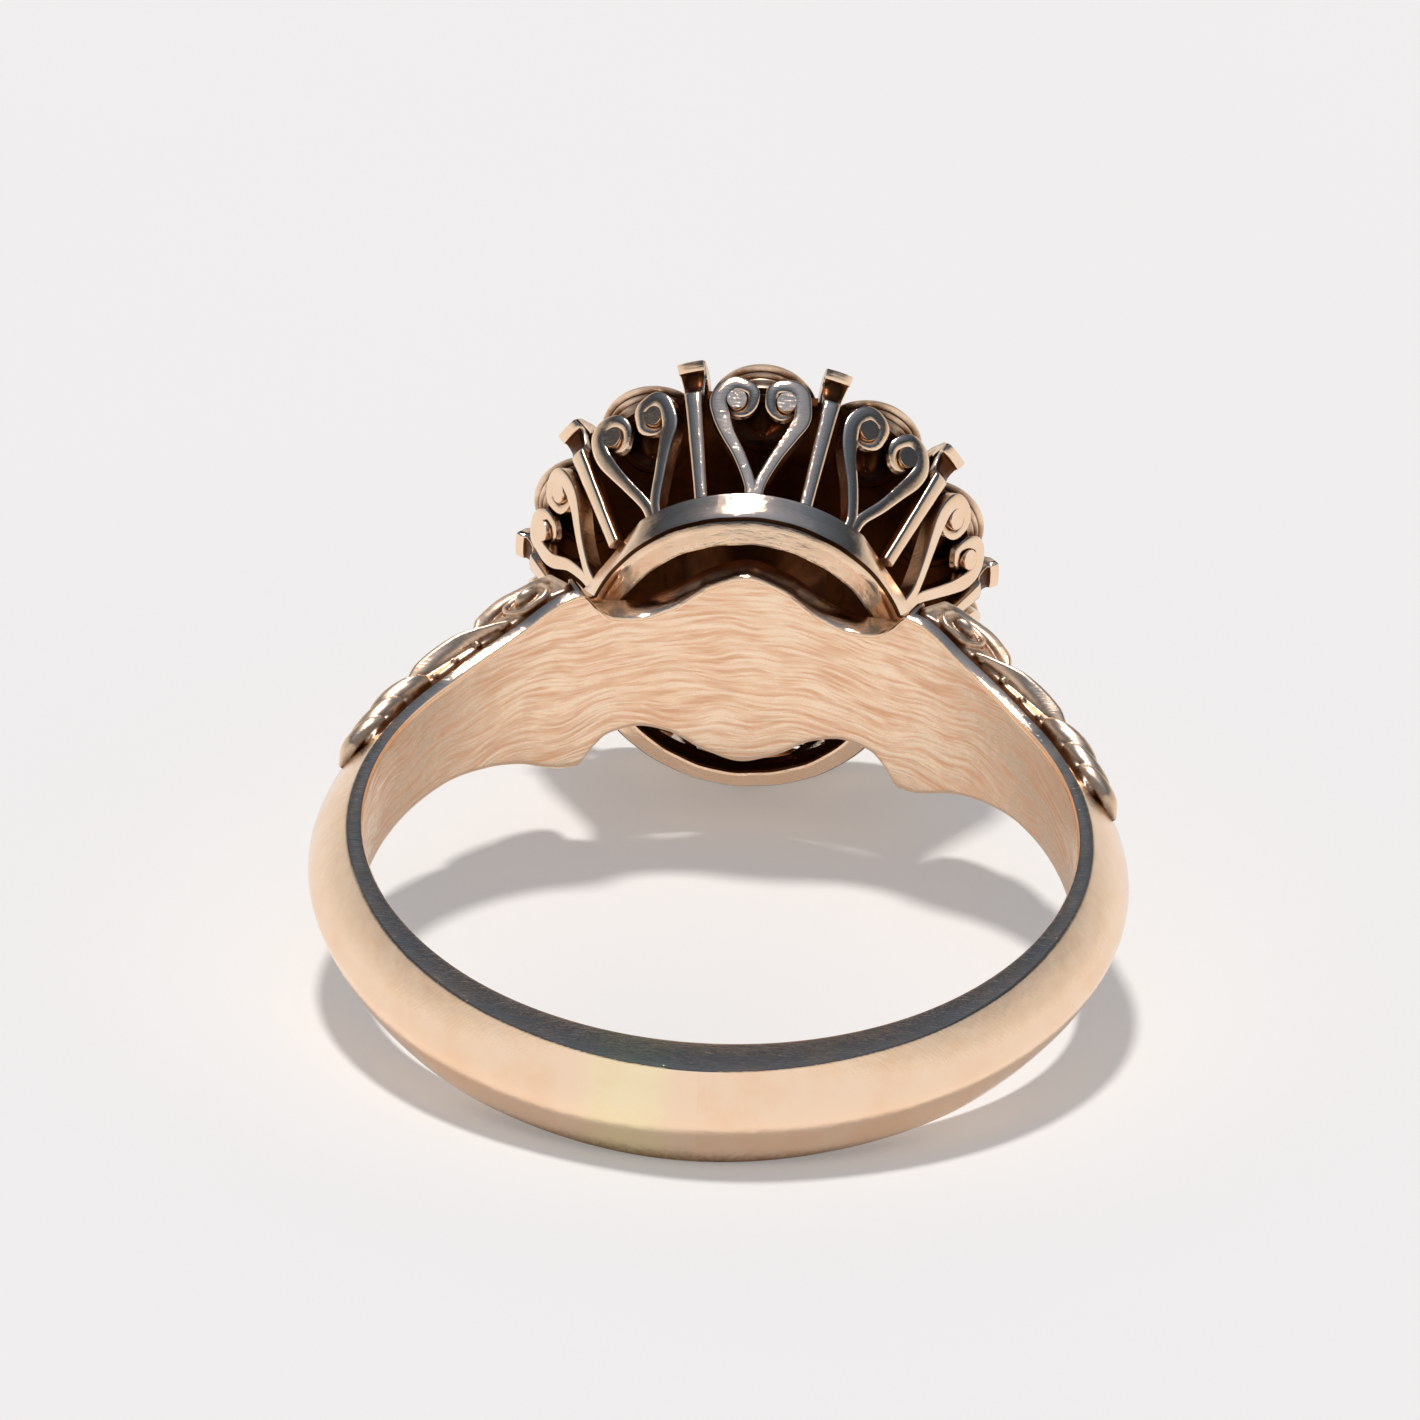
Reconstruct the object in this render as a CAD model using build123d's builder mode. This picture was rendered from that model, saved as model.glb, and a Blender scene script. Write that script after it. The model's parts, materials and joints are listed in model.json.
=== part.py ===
from build123d import *
from math import asin, atan2, cos, degrees, radians, sin, tan
import os

# Cluster engagement ring, lying on its side.
# Every piece is drawn as the ring is worn: Z runs from the finger's axis up through the head,
# Y is the finger's axis and X runs across the band. The whole ring is then laid down, so that
# its back and two claws touch the ground, with +Y towards the head and +Z up.
# The origin is on the ground, in the middle of the ring's outline. All sizes are in millimetres.

# ---- driving dimensions: shank -------------------------------------------------------------
finger_radius = 8.65
bore_stock = 0.30
back_half_width = 1.35
back_side_face = 1.17
back_crown = 1.40
flank_half_width = 1.42
flank_side_face = 0.32
flank_crown = 1.32
lower_flank_side_face = 0.40
neck_half_width = 1.50
neck_side_face = 0.55
neck_crown = 1.45
shoulder_half_width = 2.62
shoulder_side_face = 1.45
shoulder_crown = 2.35
shoulder_gap = 0.10
swell_angle = 40
neck_angle = 55
flank_angle = 82
lower_flank_angle = 112
back_corner_angle = 146
bridge_thickness = 0.85
bridge_lobe_half_width = 2.81
bridge_waist_half_width = 1.68
bridge_waist_reach = 2.75
bridge_end_overlap = 0.25
bridge_end_slope = 0.9
bridge_end_pull = 0.8
insert_start_angle = 179.0
insert_span_angle = 19.5

# ---- driving dimensions: head --------------------------------------------------------------
motif_count = 10
collar_drop = 0.40
collar_height = 1.10
collar_foot_radius = 3.96
collar_lip_radius = 4.29
collar_wall = 0.56
collar_foot_span = 26.0
collar_foot_stock = 0.60
gallery_foot_inset = 0.06
gallery_lean = 28.0
strap_depth = 0.42
heart_height = 3.28
heart_claw_gap = 0.15
heart_foot_half_width = 0.22
heart_strap = 0.32
heart_lobe_gap = 0.06
heart_cusp_drop = 0.42
heart_widest_share = 0.81
heart_foot_rise = 0.10
heart_foot_lean = 0.25
opening_apex_straps = 1.7
opening_side_straps = 1.5
opening_bow = 0.02
claw_foot_half_width = 0.17
claw_top_half_width = 0.33
claw_shoulder_drop = 0.03
claw_tip_reach = 1.60
claw_proud = 0.06
claw_tip_height = 0.34
plate_thickness = 0.20
plate_ledge = 0.30

# ---- driving dimensions: stones and settings -----------------------------------------------
small_collet_set_back = 0.18
small_collet_gap = 0.07
small_collet_wall = 0.19
small_collet_taper = 0.38
small_collet_height = 0.55
centre_collet_gap = 0.09
centre_collet_wall = 0.25
centre_collet_taper = 0.47
centre_collet_height = 1.08
collet_foot_wall = 0.15
bead_claw_radius = 0.16
bead_claw_gap = 0.11
bead_head_radius = 0.40
bead_head_lean = 0.22
bead_head_height = 0.28
bead_head_rounding = 0.20

# ---- proportions of an old-cut stone, as shares of its diameter ----------------------------
table_share = 0.53
crown_share = 0.165
girdle_share = 0.025
pavilion_share = 0.43
culet_share = 0.06
seats_per_stone_radius = 6
facet_count = 16

# ---- fits ----------------------------------------------------------------------------------
stone_clearance = 0.015
claw_clearance = 0.03
setting_lip = 0.07

# ---- derived sizes -------------------------------------------------------------------------
bridge_radius = finger_radius + bridge_thickness
shoulder_tip_reach = collar_foot_radius + shoulder_gap
shoulder_tip_angle = degrees(asin(shoulder_tip_reach / finger_radius))
collar_bottom = bridge_radius - collar_drop
collar_top = collar_bottom + collar_height
gallery_foot_radius = collar_lip_radius - gallery_foot_inset
lean_slope = tan(radians(gallery_lean))
lean_rise = cos(radians(gallery_lean))
heart_top = collar_top + heart_height * lean_rise
plate_top = heart_top
plate_bottom = plate_top - plate_thickness
small_collet_top = plate_top + small_collet_height
centre_collet_top = plate_top + centre_collet_height
claw_height = small_collet_top - claw_shoulder_drop - collar_top
motif_angle = 360 / motif_count
bore_length = 2 * bridge_lobe_half_width


def gallery_radius(height):
    """Outer radius of the flaring gallery at a height above the finger's axis."""
    return gallery_foot_radius + (height - collar_top) * lean_slope


# The small collets fill the circle inside the claws, and the centre collet fills what they leave.
collet_reach = gallery_radius(small_collet_top) - small_collet_set_back
small_stone_circle = (collet_reach + small_collet_gap / 2) / (1 + sin(radians(motif_angle / 2)))
small_collet_radius = collet_reach - small_stone_circle
small_stone_radius = small_collet_radius - small_collet_wall
centre_collet_radius = small_stone_circle - small_collet_radius - centre_collet_gap
centre_stone_radius = centre_collet_radius - centre_collet_wall
small_collet_foot_radius = small_collet_radius - small_collet_taper
centre_collet_foot_radius = centre_collet_radius - centre_collet_taper
plate_bore_radius = centre_collet_foot_radius - plate_ledge
bead_claw_circle = centre_collet_radius + bead_claw_gap + bead_claw_radius

# A heart fills the room between two claws at the height where its lobes are widest.
lobe_level = collar_top + heart_height * lean_rise * heart_widest_share
claw_pitch = gallery_radius(lobe_level) * tan(radians(motif_angle / 2))
heart_half_width = claw_pitch - claw_top_half_width - heart_claw_gap
heart_lobe_radius = (heart_half_width - heart_lobe_gap) / 2


# ---- placing helpers -----------------------------------------------------------------------
def shank_plane(angle):
    """Cross-section plane of the shank: local X points away from the finger's axis."""
    across = sin(radians(angle))
    along = cos(radians(angle))
    return Plane(origin=(0, 0, 0), x_dir=(across, 0, along), z_dir=(along, 0, -across))


def head_direction(angle):
    """Unit direction away from the head's axis, 0 degrees being straight up on the lying ring."""
    return Vector(sin(radians(angle)), -cos(radians(angle)), 0)


def radial_plane(angle):
    """Upright plane through the head's axis: local X points outwards, local Y along the axis."""
    outwards = head_direction(angle)
    return Plane(origin=(0, 0, 0), x_dir=outwards, z_dir=outwards.cross(Vector(0, 0, 1)))


def gallery_plane(angle):
    """Plane on the flaring outside of the gallery: local Y climbs from the collar to the stones."""
    outwards = head_direction(angle)
    tangent = Vector(0, 0, 1).cross(outwards)
    climb = outwards * sin(radians(gallery_lean)) + Vector(0, 0, cos(radians(gallery_lean)))
    foot = outwards * gallery_foot_radius + Vector(0, 0, collar_top)
    return Plane(origin=foot, x_dir=tangent, z_dir=tangent.cross(climb))


# ---- shank: a D-section hoop that swells into the shoulders, with a bridge under the head ---
# Each station is: angle from the head, half width, height of the side face, height of the crown.
half_stations = [
    (shoulder_tip_angle, shoulder_half_width, shoulder_side_face, shoulder_crown),
    (swell_angle, (shoulder_half_width + neck_half_width) / 2, (shoulder_side_face + neck_side_face) / 2,
     (shoulder_crown + neck_crown) / 2),
    (neck_angle, neck_half_width, neck_side_face, neck_crown),
    (flank_angle, flank_half_width, flank_side_face, flank_crown),
    (lower_flank_angle, flank_half_width, lower_flank_side_face, flank_crown),
    (back_corner_angle, back_half_width, (back_side_face + flank_side_face) / 2, back_crown),
    (180, back_half_width, back_side_face, back_crown),
]
other_half = [(360 - angle, width, side, crown) for angle, width, side, crown in half_stations[-2::-1]]

with BuildPart() as whole_shank:
    for angle, width, side, crown in half_stations + other_half:
        with BuildSketch(shank_plane(angle)):
            with BuildLine():
                Polyline(
                    (finger_radius + side, width),
                    (finger_radius - bore_stock, width),
                    (finger_radius - bore_stock, -width),
                    (finger_radius + side, -width),
                )
                ThreePointArc(
                    (finger_radius + side, -width),
                    (finger_radius + crown, 0),
                    (finger_radius + side, width),
                )
            make_face()
    loft()
    with BuildSketch(Plane.XZ):
        Circle(finger_radius)
    extrude(amount=bore_length, both=True, mode=Mode.SUBTRACT)

bridge_end_reach = shoulder_tip_reach + bridge_end_overlap
with BuildPart() as bridge:
    with BuildSketch(Plane.XZ):
        Circle(bridge_radius)
        Circle(finger_radius, mode=Mode.SUBTRACT)
    extrude(amount=bore_length, both=True)
    with BuildSketch(Plane.XY):
        with BuildLine():
            ogee = Spline(
                (0, bridge_lobe_half_width),
                (bridge_waist_reach, bridge_waist_half_width),
                (bridge_end_reach, shoulder_half_width),
                tangents=((1, 0), (1, bridge_end_slope)),
                tangent_scalars=(1, bridge_end_pull),
            )
            Line(ogee @ 1, (bridge_end_reach, 0))
            Line((bridge_end_reach, 0), (0, 0))
            Line((0, 0), ogee @ 0)
        make_face()
        mirror(about=Plane.XZ)
        mirror(about=Plane.YZ)
    extrude(amount=finger_radius + shoulder_crown, mode=Mode.INTERSECT)

with BuildPart() as shank_blank:
    add(whole_shank.part)
    add(bridge.part)

insert_reach = 2 * finger_radius
insert_angles = (insert_start_angle, insert_start_angle + insert_span_angle)
insert_corners = [(insert_reach * sin(radians(a)), insert_reach * cos(radians(a))) for a in insert_angles]
with BuildPart() as insert_wedge:
    with BuildSketch(Plane.XZ):
        Polygon((0, 0), *insert_corners, align=None)
    extrude(amount=bore_length, both=True)

with BuildPart() as shank:
    add(shank_blank.part)
    add(insert_wedge.part, mode=Mode.SUBTRACT)

with BuildPart() as sizing_insert:
    add(shank_blank.part)
    add(insert_wedge.part, mode=Mode.INTERSECT)

# ---- collar: the base ring of the head, standing on the bridge with two saddle feet --------
foot_depth = bridge_thickness + collar_foot_stock
with BuildPart() as collar:
    with BuildSketch(radial_plane(0)):
        Polygon(
            (collar_foot_radius - collar_wall, collar_bottom),
            (collar_foot_radius, collar_bottom),
            (collar_lip_radius, collar_top),
            (collar_lip_radius - collar_wall, collar_top),
            align=None,
        )
    revolve(axis=Axis.Z)
    for side_angle in (90, 270):
        with BuildSketch(radial_plane(side_angle - collar_foot_span / 2)):
            Polygon(
                (collar_foot_radius - collar_wall, collar_bottom - foot_depth),
                (collar_foot_radius, collar_bottom - foot_depth),
                (collar_foot_radius, collar_bottom),
                (collar_foot_radius - collar_wall, collar_bottom),
                align=None,
            )
        revolve(axis=Axis.Z, revolution_arc=collar_foot_span)
    with BuildSketch(Plane.XZ):
        Circle(bridge_radius)
    extrude(amount=bore_length, both=True, mode=Mode.SUBTRACT)


# ---- gallery: heart scrolls and claws in turn, leaning out from the collar ------------------
def make_heart(angle):
    """One heart-shaped scroll: two straps from one foot, each rolled over into a lobe."""
    lobe_height = heart_height - heart_lobe_radius
    foot_drop = strap_depth
    opening_apex = heart_strap * opening_apex_straps
    opening_corner = (heart_half_width - opening_side_straps * heart_strap, lobe_height - heart_lobe_radius)
    opening_crown = (0, lobe_height - heart_strap)
    with BuildPart() as heart:
        with BuildSketch(gallery_plane(angle)):
            with BuildLine():
                Polyline(
                    (0, -foot_drop),
                    (heart_foot_half_width, -foot_drop),
                    (heart_foot_half_width, heart_foot_rise),
                )
                Spline(
                    (heart_foot_half_width, heart_foot_rise),
                    (heart_half_width, lobe_height),
                    tangents=((heart_foot_lean, 1), (0, 1)),
                )
                ThreePointArc(
                    (heart_half_width, lobe_height),
                    (heart_half_width - heart_lobe_radius, heart_height),
                    (0, heart_height - heart_cusp_drop),
                )
                Line((0, heart_height - heart_cusp_drop), (0, -foot_drop))
            make_face()
            with BuildLine():
                Line((0, opening_apex), opening_corner)
                ThreePointArc(
                    opening_corner,
                    (opening_corner[0] / 2, (opening_corner[1] + opening_crown[1]) / 2 + opening_bow),
                    opening_crown,
                )
                Line(opening_crown, (0, opening_apex))
            make_face(mode=Mode.SUBTRACT)
            mirror(about=Plane.YZ)
        extrude(amount=-strap_depth)
        split(bisect_by=Plane.XY.offset(collar_top), keep=Keep.TOP)
        split(bisect_by=Plane.XY.offset(plate_top), keep=Keep.BOTTOM)
    return heart.part


def make_claw(angle):
    """One straight claw: it stands on the collar, widens upwards and turns in over two stones."""
    shoulder_height = collar_top + claw_height
    tip_underside = small_collet_top + claw_clearance
    depth = strap_depth / lean_rise
    outer_foot = gallery_radius(collar_top) + claw_proud
    outer_top = gallery_radius(shoulder_height) + claw_proud
    inner_top = gallery_radius(tip_underside) + claw_proud - depth
    tip_end = outer_top - claw_tip_reach
    with BuildPart() as claw:
        with BuildSketch(radial_plane(angle)):
            Polygon(
                (outer_foot, collar_top),
                (outer_top, shoulder_height),
                (outer_top - claw_tip_height, tip_underside + claw_tip_height),
                (tip_end, tip_underside + claw_tip_height / 2),
                (tip_end, tip_underside),
                (inner_top, tip_underside),
                (outer_foot - depth, collar_top),
                align=None,
            )
        extrude(amount=claw_top_half_width, both=True)
        with BuildSketch(gallery_plane(angle)):
            Polygon(
                (-claw_foot_half_width, -strap_depth),
                (claw_foot_half_width, -strap_depth),
                (claw_top_half_width, claw_height),
                (claw_top_half_width, 2 * claw_height),
                (-claw_top_half_width, 2 * claw_height),
                (-claw_top_half_width, claw_height),
                align=None,
            )
        extrude(amount=claw_height, both=True, mode=Mode.INTERSECT)
    return claw.part


hearts = [make_heart(number * motif_angle) for number in range(motif_count)]
claws = [make_claw((number + 0.5) * motif_angle) for number in range(motif_count)]

# ---- gallery plate: pierced under every stone, notched for the claws -----------------------
plate_apothem = gallery_radius(plate_bottom) - strap_depth / lean_rise
with BuildPart() as gallery_plate:
    with BuildSketch(Plane.XY.offset(plate_bottom)):
        RegularPolygon(plate_apothem, motif_count, major_radius=False)
    extrude(amount=plate_thickness, taper=-gallery_lean)
    with BuildSketch(Plane.XY.offset(plate_bottom)):
        Circle(plate_bore_radius)
        with PolarLocations(small_stone_circle, motif_count, start_angle=-90):
            Circle(small_collet_foot_radius - collet_foot_wall)
    extrude(amount=plate_thickness, mode=Mode.SUBTRACT)
    for claw in claws:
        add(claw, mode=Mode.SUBTRACT)


# ---- stones and their collets --------------------------------------------------------------
def make_stone(centre, girdle_height, radius):
    """One old-cut stone on an upright axis, its girdle's lower edge at the given height."""
    diameter = 2 * radius
    girdle_top = girdle_height + girdle_share * diameter
    levels = [
        (girdle_height - pavilion_share * diameter, culet_share * radius),
        (girdle_height, radius),
        (girdle_top, radius),
        (girdle_top + crown_share * diameter, table_share * radius),
    ]
    with BuildPart() as stone:
        for height, level_radius in levels:
            with BuildSketch(Plane(origin=(centre.X, centre.Y, height))):
                RegularPolygon(level_radius, facet_count)
        loft(ruled=True)
    return stone.part


def girdle_level(collet_top, radius):
    """Height of a girdle's lower edge under the lip of its collet."""
    return collet_top - setting_lip - girdle_share * 2 * radius


def make_collet(centre, foot_radius, top_radius, height, stone_radius):
    """One tapered collet on the gallery plate, with a seat and a rubbed-over lip for its stone."""
    girdle = girdle_level(height, stone_radius)
    girdle_top = height - setting_lip
    seat_radius = stone_radius + stone_clearance
    seat_width = stone_radius / seats_per_stone_radius
    pavilion_slope = pavilion_share * 2 / (1 - culet_share)
    crown_slope = crown_share * 2 / (1 - table_share)
    with BuildPart() as collet:
        with BuildSketch(Plane(origin=(centre.X, centre.Y, plate_top), x_dir=(1, 0, 0), z_dir=(0, -1, 0))):
            Polygon(
                (foot_radius - collet_foot_wall, 0),
                (foot_radius, 0),
                (top_radius, girdle),
                (top_radius, height),
                (seat_radius - setting_lip / crown_slope, height),
                (seat_radius, girdle_top),
                (seat_radius, girdle),
                (seat_radius - seat_width, girdle - seat_width * pavilion_slope),
                align=None,
            )
        revolve(axis=Axis((centre.X, centre.Y, 0), (0, 0, 1)))
    return collet.part


def make_bead_claw(angle):
    """One round claw at the centre stone: a pin on the gallery plate with a domed head."""
    pin_centre = head_direction(angle) * bead_claw_circle
    head_centre = head_direction(angle) * (bead_claw_circle - bead_head_lean)
    head_bottom = centre_collet_top + claw_clearance
    with BuildPart() as bead_claw:
        with BuildSketch(Plane(origin=(pin_centre.X, pin_centre.Y, plate_top))):
            Circle(bead_claw_radius)
        extrude(amount=head_bottom - plate_top)
        with BuildSketch(Plane(origin=(head_centre.X, head_centre.Y, head_bottom))):
            Circle(bead_head_radius)
        extrude(amount=bead_head_height)
        fillet(bead_claw.edges().group_by(Axis.Z)[-1], radius=bead_head_rounding)
    return bead_claw.part


head_centre = Vector(0, 0, 0)
stone_centres = [head_direction(number * motif_angle) * small_stone_circle for number in range(motif_count)]
small_girdle = girdle_level(small_collet_top, small_stone_radius)
centre_girdle = girdle_level(centre_collet_top, centre_stone_radius)

small_stones = [make_stone(centre, small_girdle, small_stone_radius) for centre in stone_centres]
small_collets = [
    make_collet(centre, small_collet_foot_radius, small_collet_radius, small_collet_height, small_stone_radius)
    for centre in stone_centres
]
centre_stone = make_stone(head_centre, centre_girdle, centre_stone_radius)
centre_collet = make_collet(
    head_centre, centre_collet_foot_radius, centre_collet_radius, centre_collet_height, centre_stone_radius
)
bead_claws = [make_bead_claw((number + 0.5) * motif_angle) for number in range(motif_count)]

# ---- laying the ring down ------------------------------------------------------------------
claw_shoulder_radius = gallery_radius(collar_top + claw_height) + claw_proud
claw_corner_angle = motif_angle / 2 - degrees(atan2(claw_top_half_width, claw_shoulder_radius))
head_reach = claw_shoulder_radius * cos(radians(claw_corner_angle))
ground_span = collar_top + claw_height + finger_radius + back_side_face
resting_tilt = degrees(atan2(head_reach - back_half_width, ground_span))
turned = Location((0, 0, 0), (resting_tilt - 90, 0, 0))

pieces = {
    "shank": shank.part,
    "sizing_insert": sizing_insert.part,
    "collar": collar.part,
    "gallery_plate": gallery_plate.part,
    "centre_collet": centre_collet,
    "centre_stone": centre_stone,
}
for number in range(motif_count):
    place = f"{number + 1:02d}"
    pieces[f"heart_scroll_{place}"] = hearts[number]
    pieces[f"claw_{place}"] = claws[number]
    pieces[f"bead_claw_{place}"] = bead_claws[number]
    pieces[f"small_collet_{place}"] = small_collets[number]
    pieces[f"small_stone_{place}"] = small_stones[number]

outline = Compound(children=[piece.moved(turned) for piece in pieces.values()]).bounding_box()
on_ground = Location((-outline.center().X, -outline.center().Y, -outline.min.Z))
print(f"tilt {resting_tilt:.3f} shift {-outline.center().Y:.4f} {-outline.min.Z:.4f} size {outline.size}")
print(f"bore centre at {on_ground.position}")

os.makedirs("parts", exist_ok=True)
for label, piece in pieces.items():
    placed = piece.moved(turned).moved(on_ground)
    placed.label = label
    export_step(placed, f"parts/{label}.step")
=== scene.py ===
# Cluster ring, lying on its side on a pale floor. Shapes are drawn in the ring's own axes, in
# millimetres: x runs across the band, v from the finger's centre towards the stones, and w along
# the finger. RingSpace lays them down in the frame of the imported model, in metres.

import json
import logging
import math
from dataclasses import dataclass, field
from enum import Enum
from typing import Callable, Iterable, Optional, Sequence

import bmesh
import bpy
import numpy as np
from mathutils import Matrix, Vector


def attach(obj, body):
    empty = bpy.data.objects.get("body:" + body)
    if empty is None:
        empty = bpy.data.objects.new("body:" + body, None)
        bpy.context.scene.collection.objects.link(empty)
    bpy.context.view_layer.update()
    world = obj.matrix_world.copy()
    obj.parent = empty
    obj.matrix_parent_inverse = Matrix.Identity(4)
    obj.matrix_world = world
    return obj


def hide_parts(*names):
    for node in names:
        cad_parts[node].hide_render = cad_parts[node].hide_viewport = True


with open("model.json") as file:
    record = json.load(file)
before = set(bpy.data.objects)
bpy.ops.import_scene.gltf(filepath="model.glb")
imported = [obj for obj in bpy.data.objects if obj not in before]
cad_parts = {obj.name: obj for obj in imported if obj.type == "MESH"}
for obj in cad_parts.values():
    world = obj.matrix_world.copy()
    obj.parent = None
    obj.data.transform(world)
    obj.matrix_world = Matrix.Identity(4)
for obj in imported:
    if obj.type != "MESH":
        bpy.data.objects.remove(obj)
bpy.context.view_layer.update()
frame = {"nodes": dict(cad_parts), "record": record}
LOG = logging.getLogger("ring")
MM = 0.001
SEED = 11
MOTIFS = 10
MOTIF_ANGLE = 360 / MOTIFS
PATCH = 1  # material number of a face that takes a piece's second finish


# ---- axes and plain geometry ---------------------------------------------------------------
@dataclass(frozen=True)
class RingSpace:
    """The lying ring's own axes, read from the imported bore."""

    centre: Vector
    head: Vector
    finger: Vector

    @classmethod
    def from_record(cls, record: dict) -> "RingSpace":
        """Reads the bore mount.

        Args:
            record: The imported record.

        Returns:
            The ring's axes.
        """
        bore = next(m for m in record["mounts"] if m["kind"] == "bore")
        finger = Vector(bore["axis"]).normalized()
        return cls(Vector(bore["pos_m"]), Vector((0.0, finger.z, -finger.y)), finger)

    def axes(self) -> np.ndarray:
        """The three axes as rows."""
        return np.array([(1.0, 0.0, 0.0), tuple(self.head), tuple(self.finger)])

    def place(self, points: np.ndarray) -> np.ndarray:
        """Millimetres in the ring's axes to metres in the frame."""
        return np.asarray(self.centre) + (np.asarray(points) @ self.axes()) * MM

    def direction(self, across: float, head: float, finger: float) -> Vector:
        """A direction in the ring's axes, turned into the frame."""
        return (Vector((1, 0, 0)) * across + self.head * head + self.finger * finger).normalized()


@dataclass
class Shell:
    """One closed skin in the ring's axes.

    Attributes:
        points: Corner positions in millimetres.
        faces: Corner numbers of each face.
        materials: Material number of each face, all 0 when empty.
    """

    points: np.ndarray
    faces: list[tuple[int, ...]]
    materials: list[int] = field(default_factory=list)


def smooth_step(value: np.ndarray | float, low: float, high: float) -> np.ndarray | float:
    """Rises smoothly from 0 at low to 1 at high."""
    share = np.clip((np.asarray(value, float) - low) / (high - low), 0.0, 1.0)
    return share * share * (3 - 2 * share)


def smooth_curve(knots: Sequence[tuple[float, float]]) -> Callable[[float], float]:
    """A smooth curve through a few knots that never overshoots them.

    Args:
        knots: Pairs of position and value, in rising order of position.

    Returns:
        A function that gives the value at a position.
    """
    spots = np.array([k[0] for k in knots], float)
    values = np.array([k[1] for k in knots], float)
    steps = np.diff(values) / np.diff(spots)
    slopes = np.zeros(len(spots))
    for i in range(1, len(spots) - 1):
        if steps[i - 1] * steps[i] > 0:
            slopes[i] = 2 * steps[i - 1] * steps[i] / (steps[i - 1] + steps[i])

    def curve(spot: float) -> float:
        """Gives the value at a position, held level past either end.

        Args:
            spot: The position.

        Returns:
            The value there.
        """
        spot = float(np.clip(spot, spots[0], spots[-1]))
        i = int(np.clip(np.searchsorted(spots, spot) - 1, 0, len(steps) - 1))
        width = spots[i + 1] - spots[i]
        t = (spot - spots[i]) / width
        return float(
            values[i] * (2 * t**3 - 3 * t**2 + 1)
            + slopes[i] * width * (t**3 - 2 * t**2 + t)
            + values[i + 1] * (3 * t**2 - 2 * t**3)
            + slopes[i + 1] * width * (t**3 - t**2)
        )

    return curve


def spline_path(corners: Sequence[Sequence[float]], count: int) -> np.ndarray:
    """A smooth path through a few points, evenly spaced along its length.

    Args:
        corners: The points that it passes.
        count: How many points to return.

    Returns:
        The path's points, one per row.
    """
    p = np.array(corners, float)
    padded = np.vstack([2 * p[0] - p[1], p, 2 * p[-1] - p[-2]])
    fine = []
    for i in range(1, len(padded) - 2):
        a, b, c, d = padded[i - 1 : i + 3]
        for t in np.linspace(0, 1, 24, endpoint=False):
            fine.append(
                0.5
                * (2 * b + (c - a) * t + (2 * a - 5 * b + 4 * c - d) * t**2 + (3 * b - a - 3 * c + d) * t**3)
            )
    fine.append(p[-1])
    fine = np.array(fine)
    along = np.concatenate([[0], np.cumsum(np.linalg.norm(np.diff(fine, axis=0), axis=1))])
    marks = np.linspace(0, along[-1], count)
    return np.stack([np.interp(marks, along, fine[:, k]) for k in range(fine.shape[1])], axis=1)


def skin(
    rings: np.ndarray,
    looped: bool,
    materials: Optional[Sequence[int]] = None,
    patch: Optional[Callable[[int, int], bool]] = None,
) -> Shell:
    """Joins rings of points into a closed skin.

    Args:
        rings: Array of rings, each a closed loop with the same number of points.
        looped: Whether the last ring joins the first. Otherwise both ends are capped.
        materials: Material number of each strip round a ring.
        patch: Whether the face at a row and column takes the second finish instead.

    Returns:
        The skin.
    """
    rows, columns = rings.shape[:2]
    faces: list[tuple[int, ...]] = []
    numbers: list[int] = []
    for row in range(rows if looped else rows - 1):
        here, there = row * columns, (row + 1) % rows * columns
        for column in range(columns):
            beside = (column + 1) % columns
            faces.append((here + column, here + beside, there + beside, there + column))
            number = materials[column] if materials is not None else 0
            numbers.append(PATCH if patch is not None and patch(row, column) else number)
    if not looped:
        faces.append(tuple(range(columns))[::-1])
        faces.append(tuple(range((rows - 1) * columns, rows * columns)))
        numbers += [0, 0]
    return Shell(rings.reshape(-1, 3), faces, numbers)


def about_finger(angle: float, radius: np.ndarray, width: np.ndarray) -> np.ndarray:
    """Points on a cross-section of the band.

    Args:
        angle: Degrees round the finger from the head.
        radius: Distances from the finger's axis.
        width: Places along the finger's axis.

    Returns:
        The points in the ring's axes.
    """
    turn = math.radians(angle)
    radius = np.asarray(radius, float)
    return np.stack([radius * math.sin(turn), radius * math.cos(turn), np.asarray(width, float)], axis=-1)


def about_head(angle: float, radius: np.ndarray, height: np.ndarray) -> np.ndarray:
    """Points on an upright section of the head.

    Args:
        angle: Degrees round the head from the finger's axis.
        radius: Distances from the head's axis.
        height: Heights above the finger's axis.

    Returns:
        The points in the ring's axes.
    """
    turn = math.radians(angle)
    radius = np.asarray(radius, float)
    return np.stack([radius * math.sin(turn), np.asarray(height, float), radius * math.cos(turn)], axis=-1)


def turned(profile: Sequence[tuple[float, float]], steps: int, centre: tuple[float, float] = (0, 0)) -> Shell:
    """A ring turned about an axis parallel to the head's.

    Args:
        profile: Closed outline of (radius, height), clear of the axis.
        steps: Facets round the ring.
        centre: Where the axis stands, as (x, w).

    Returns:
        The skin.
    """
    outline = np.array(profile, float)
    rings = np.stack([about_head(360 * i / steps, outline[:, 0], outline[:, 1]) for i in range(steps)])
    rings += np.array([centre[0], 0, centre[1]])
    return skin(rings, True)


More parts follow.
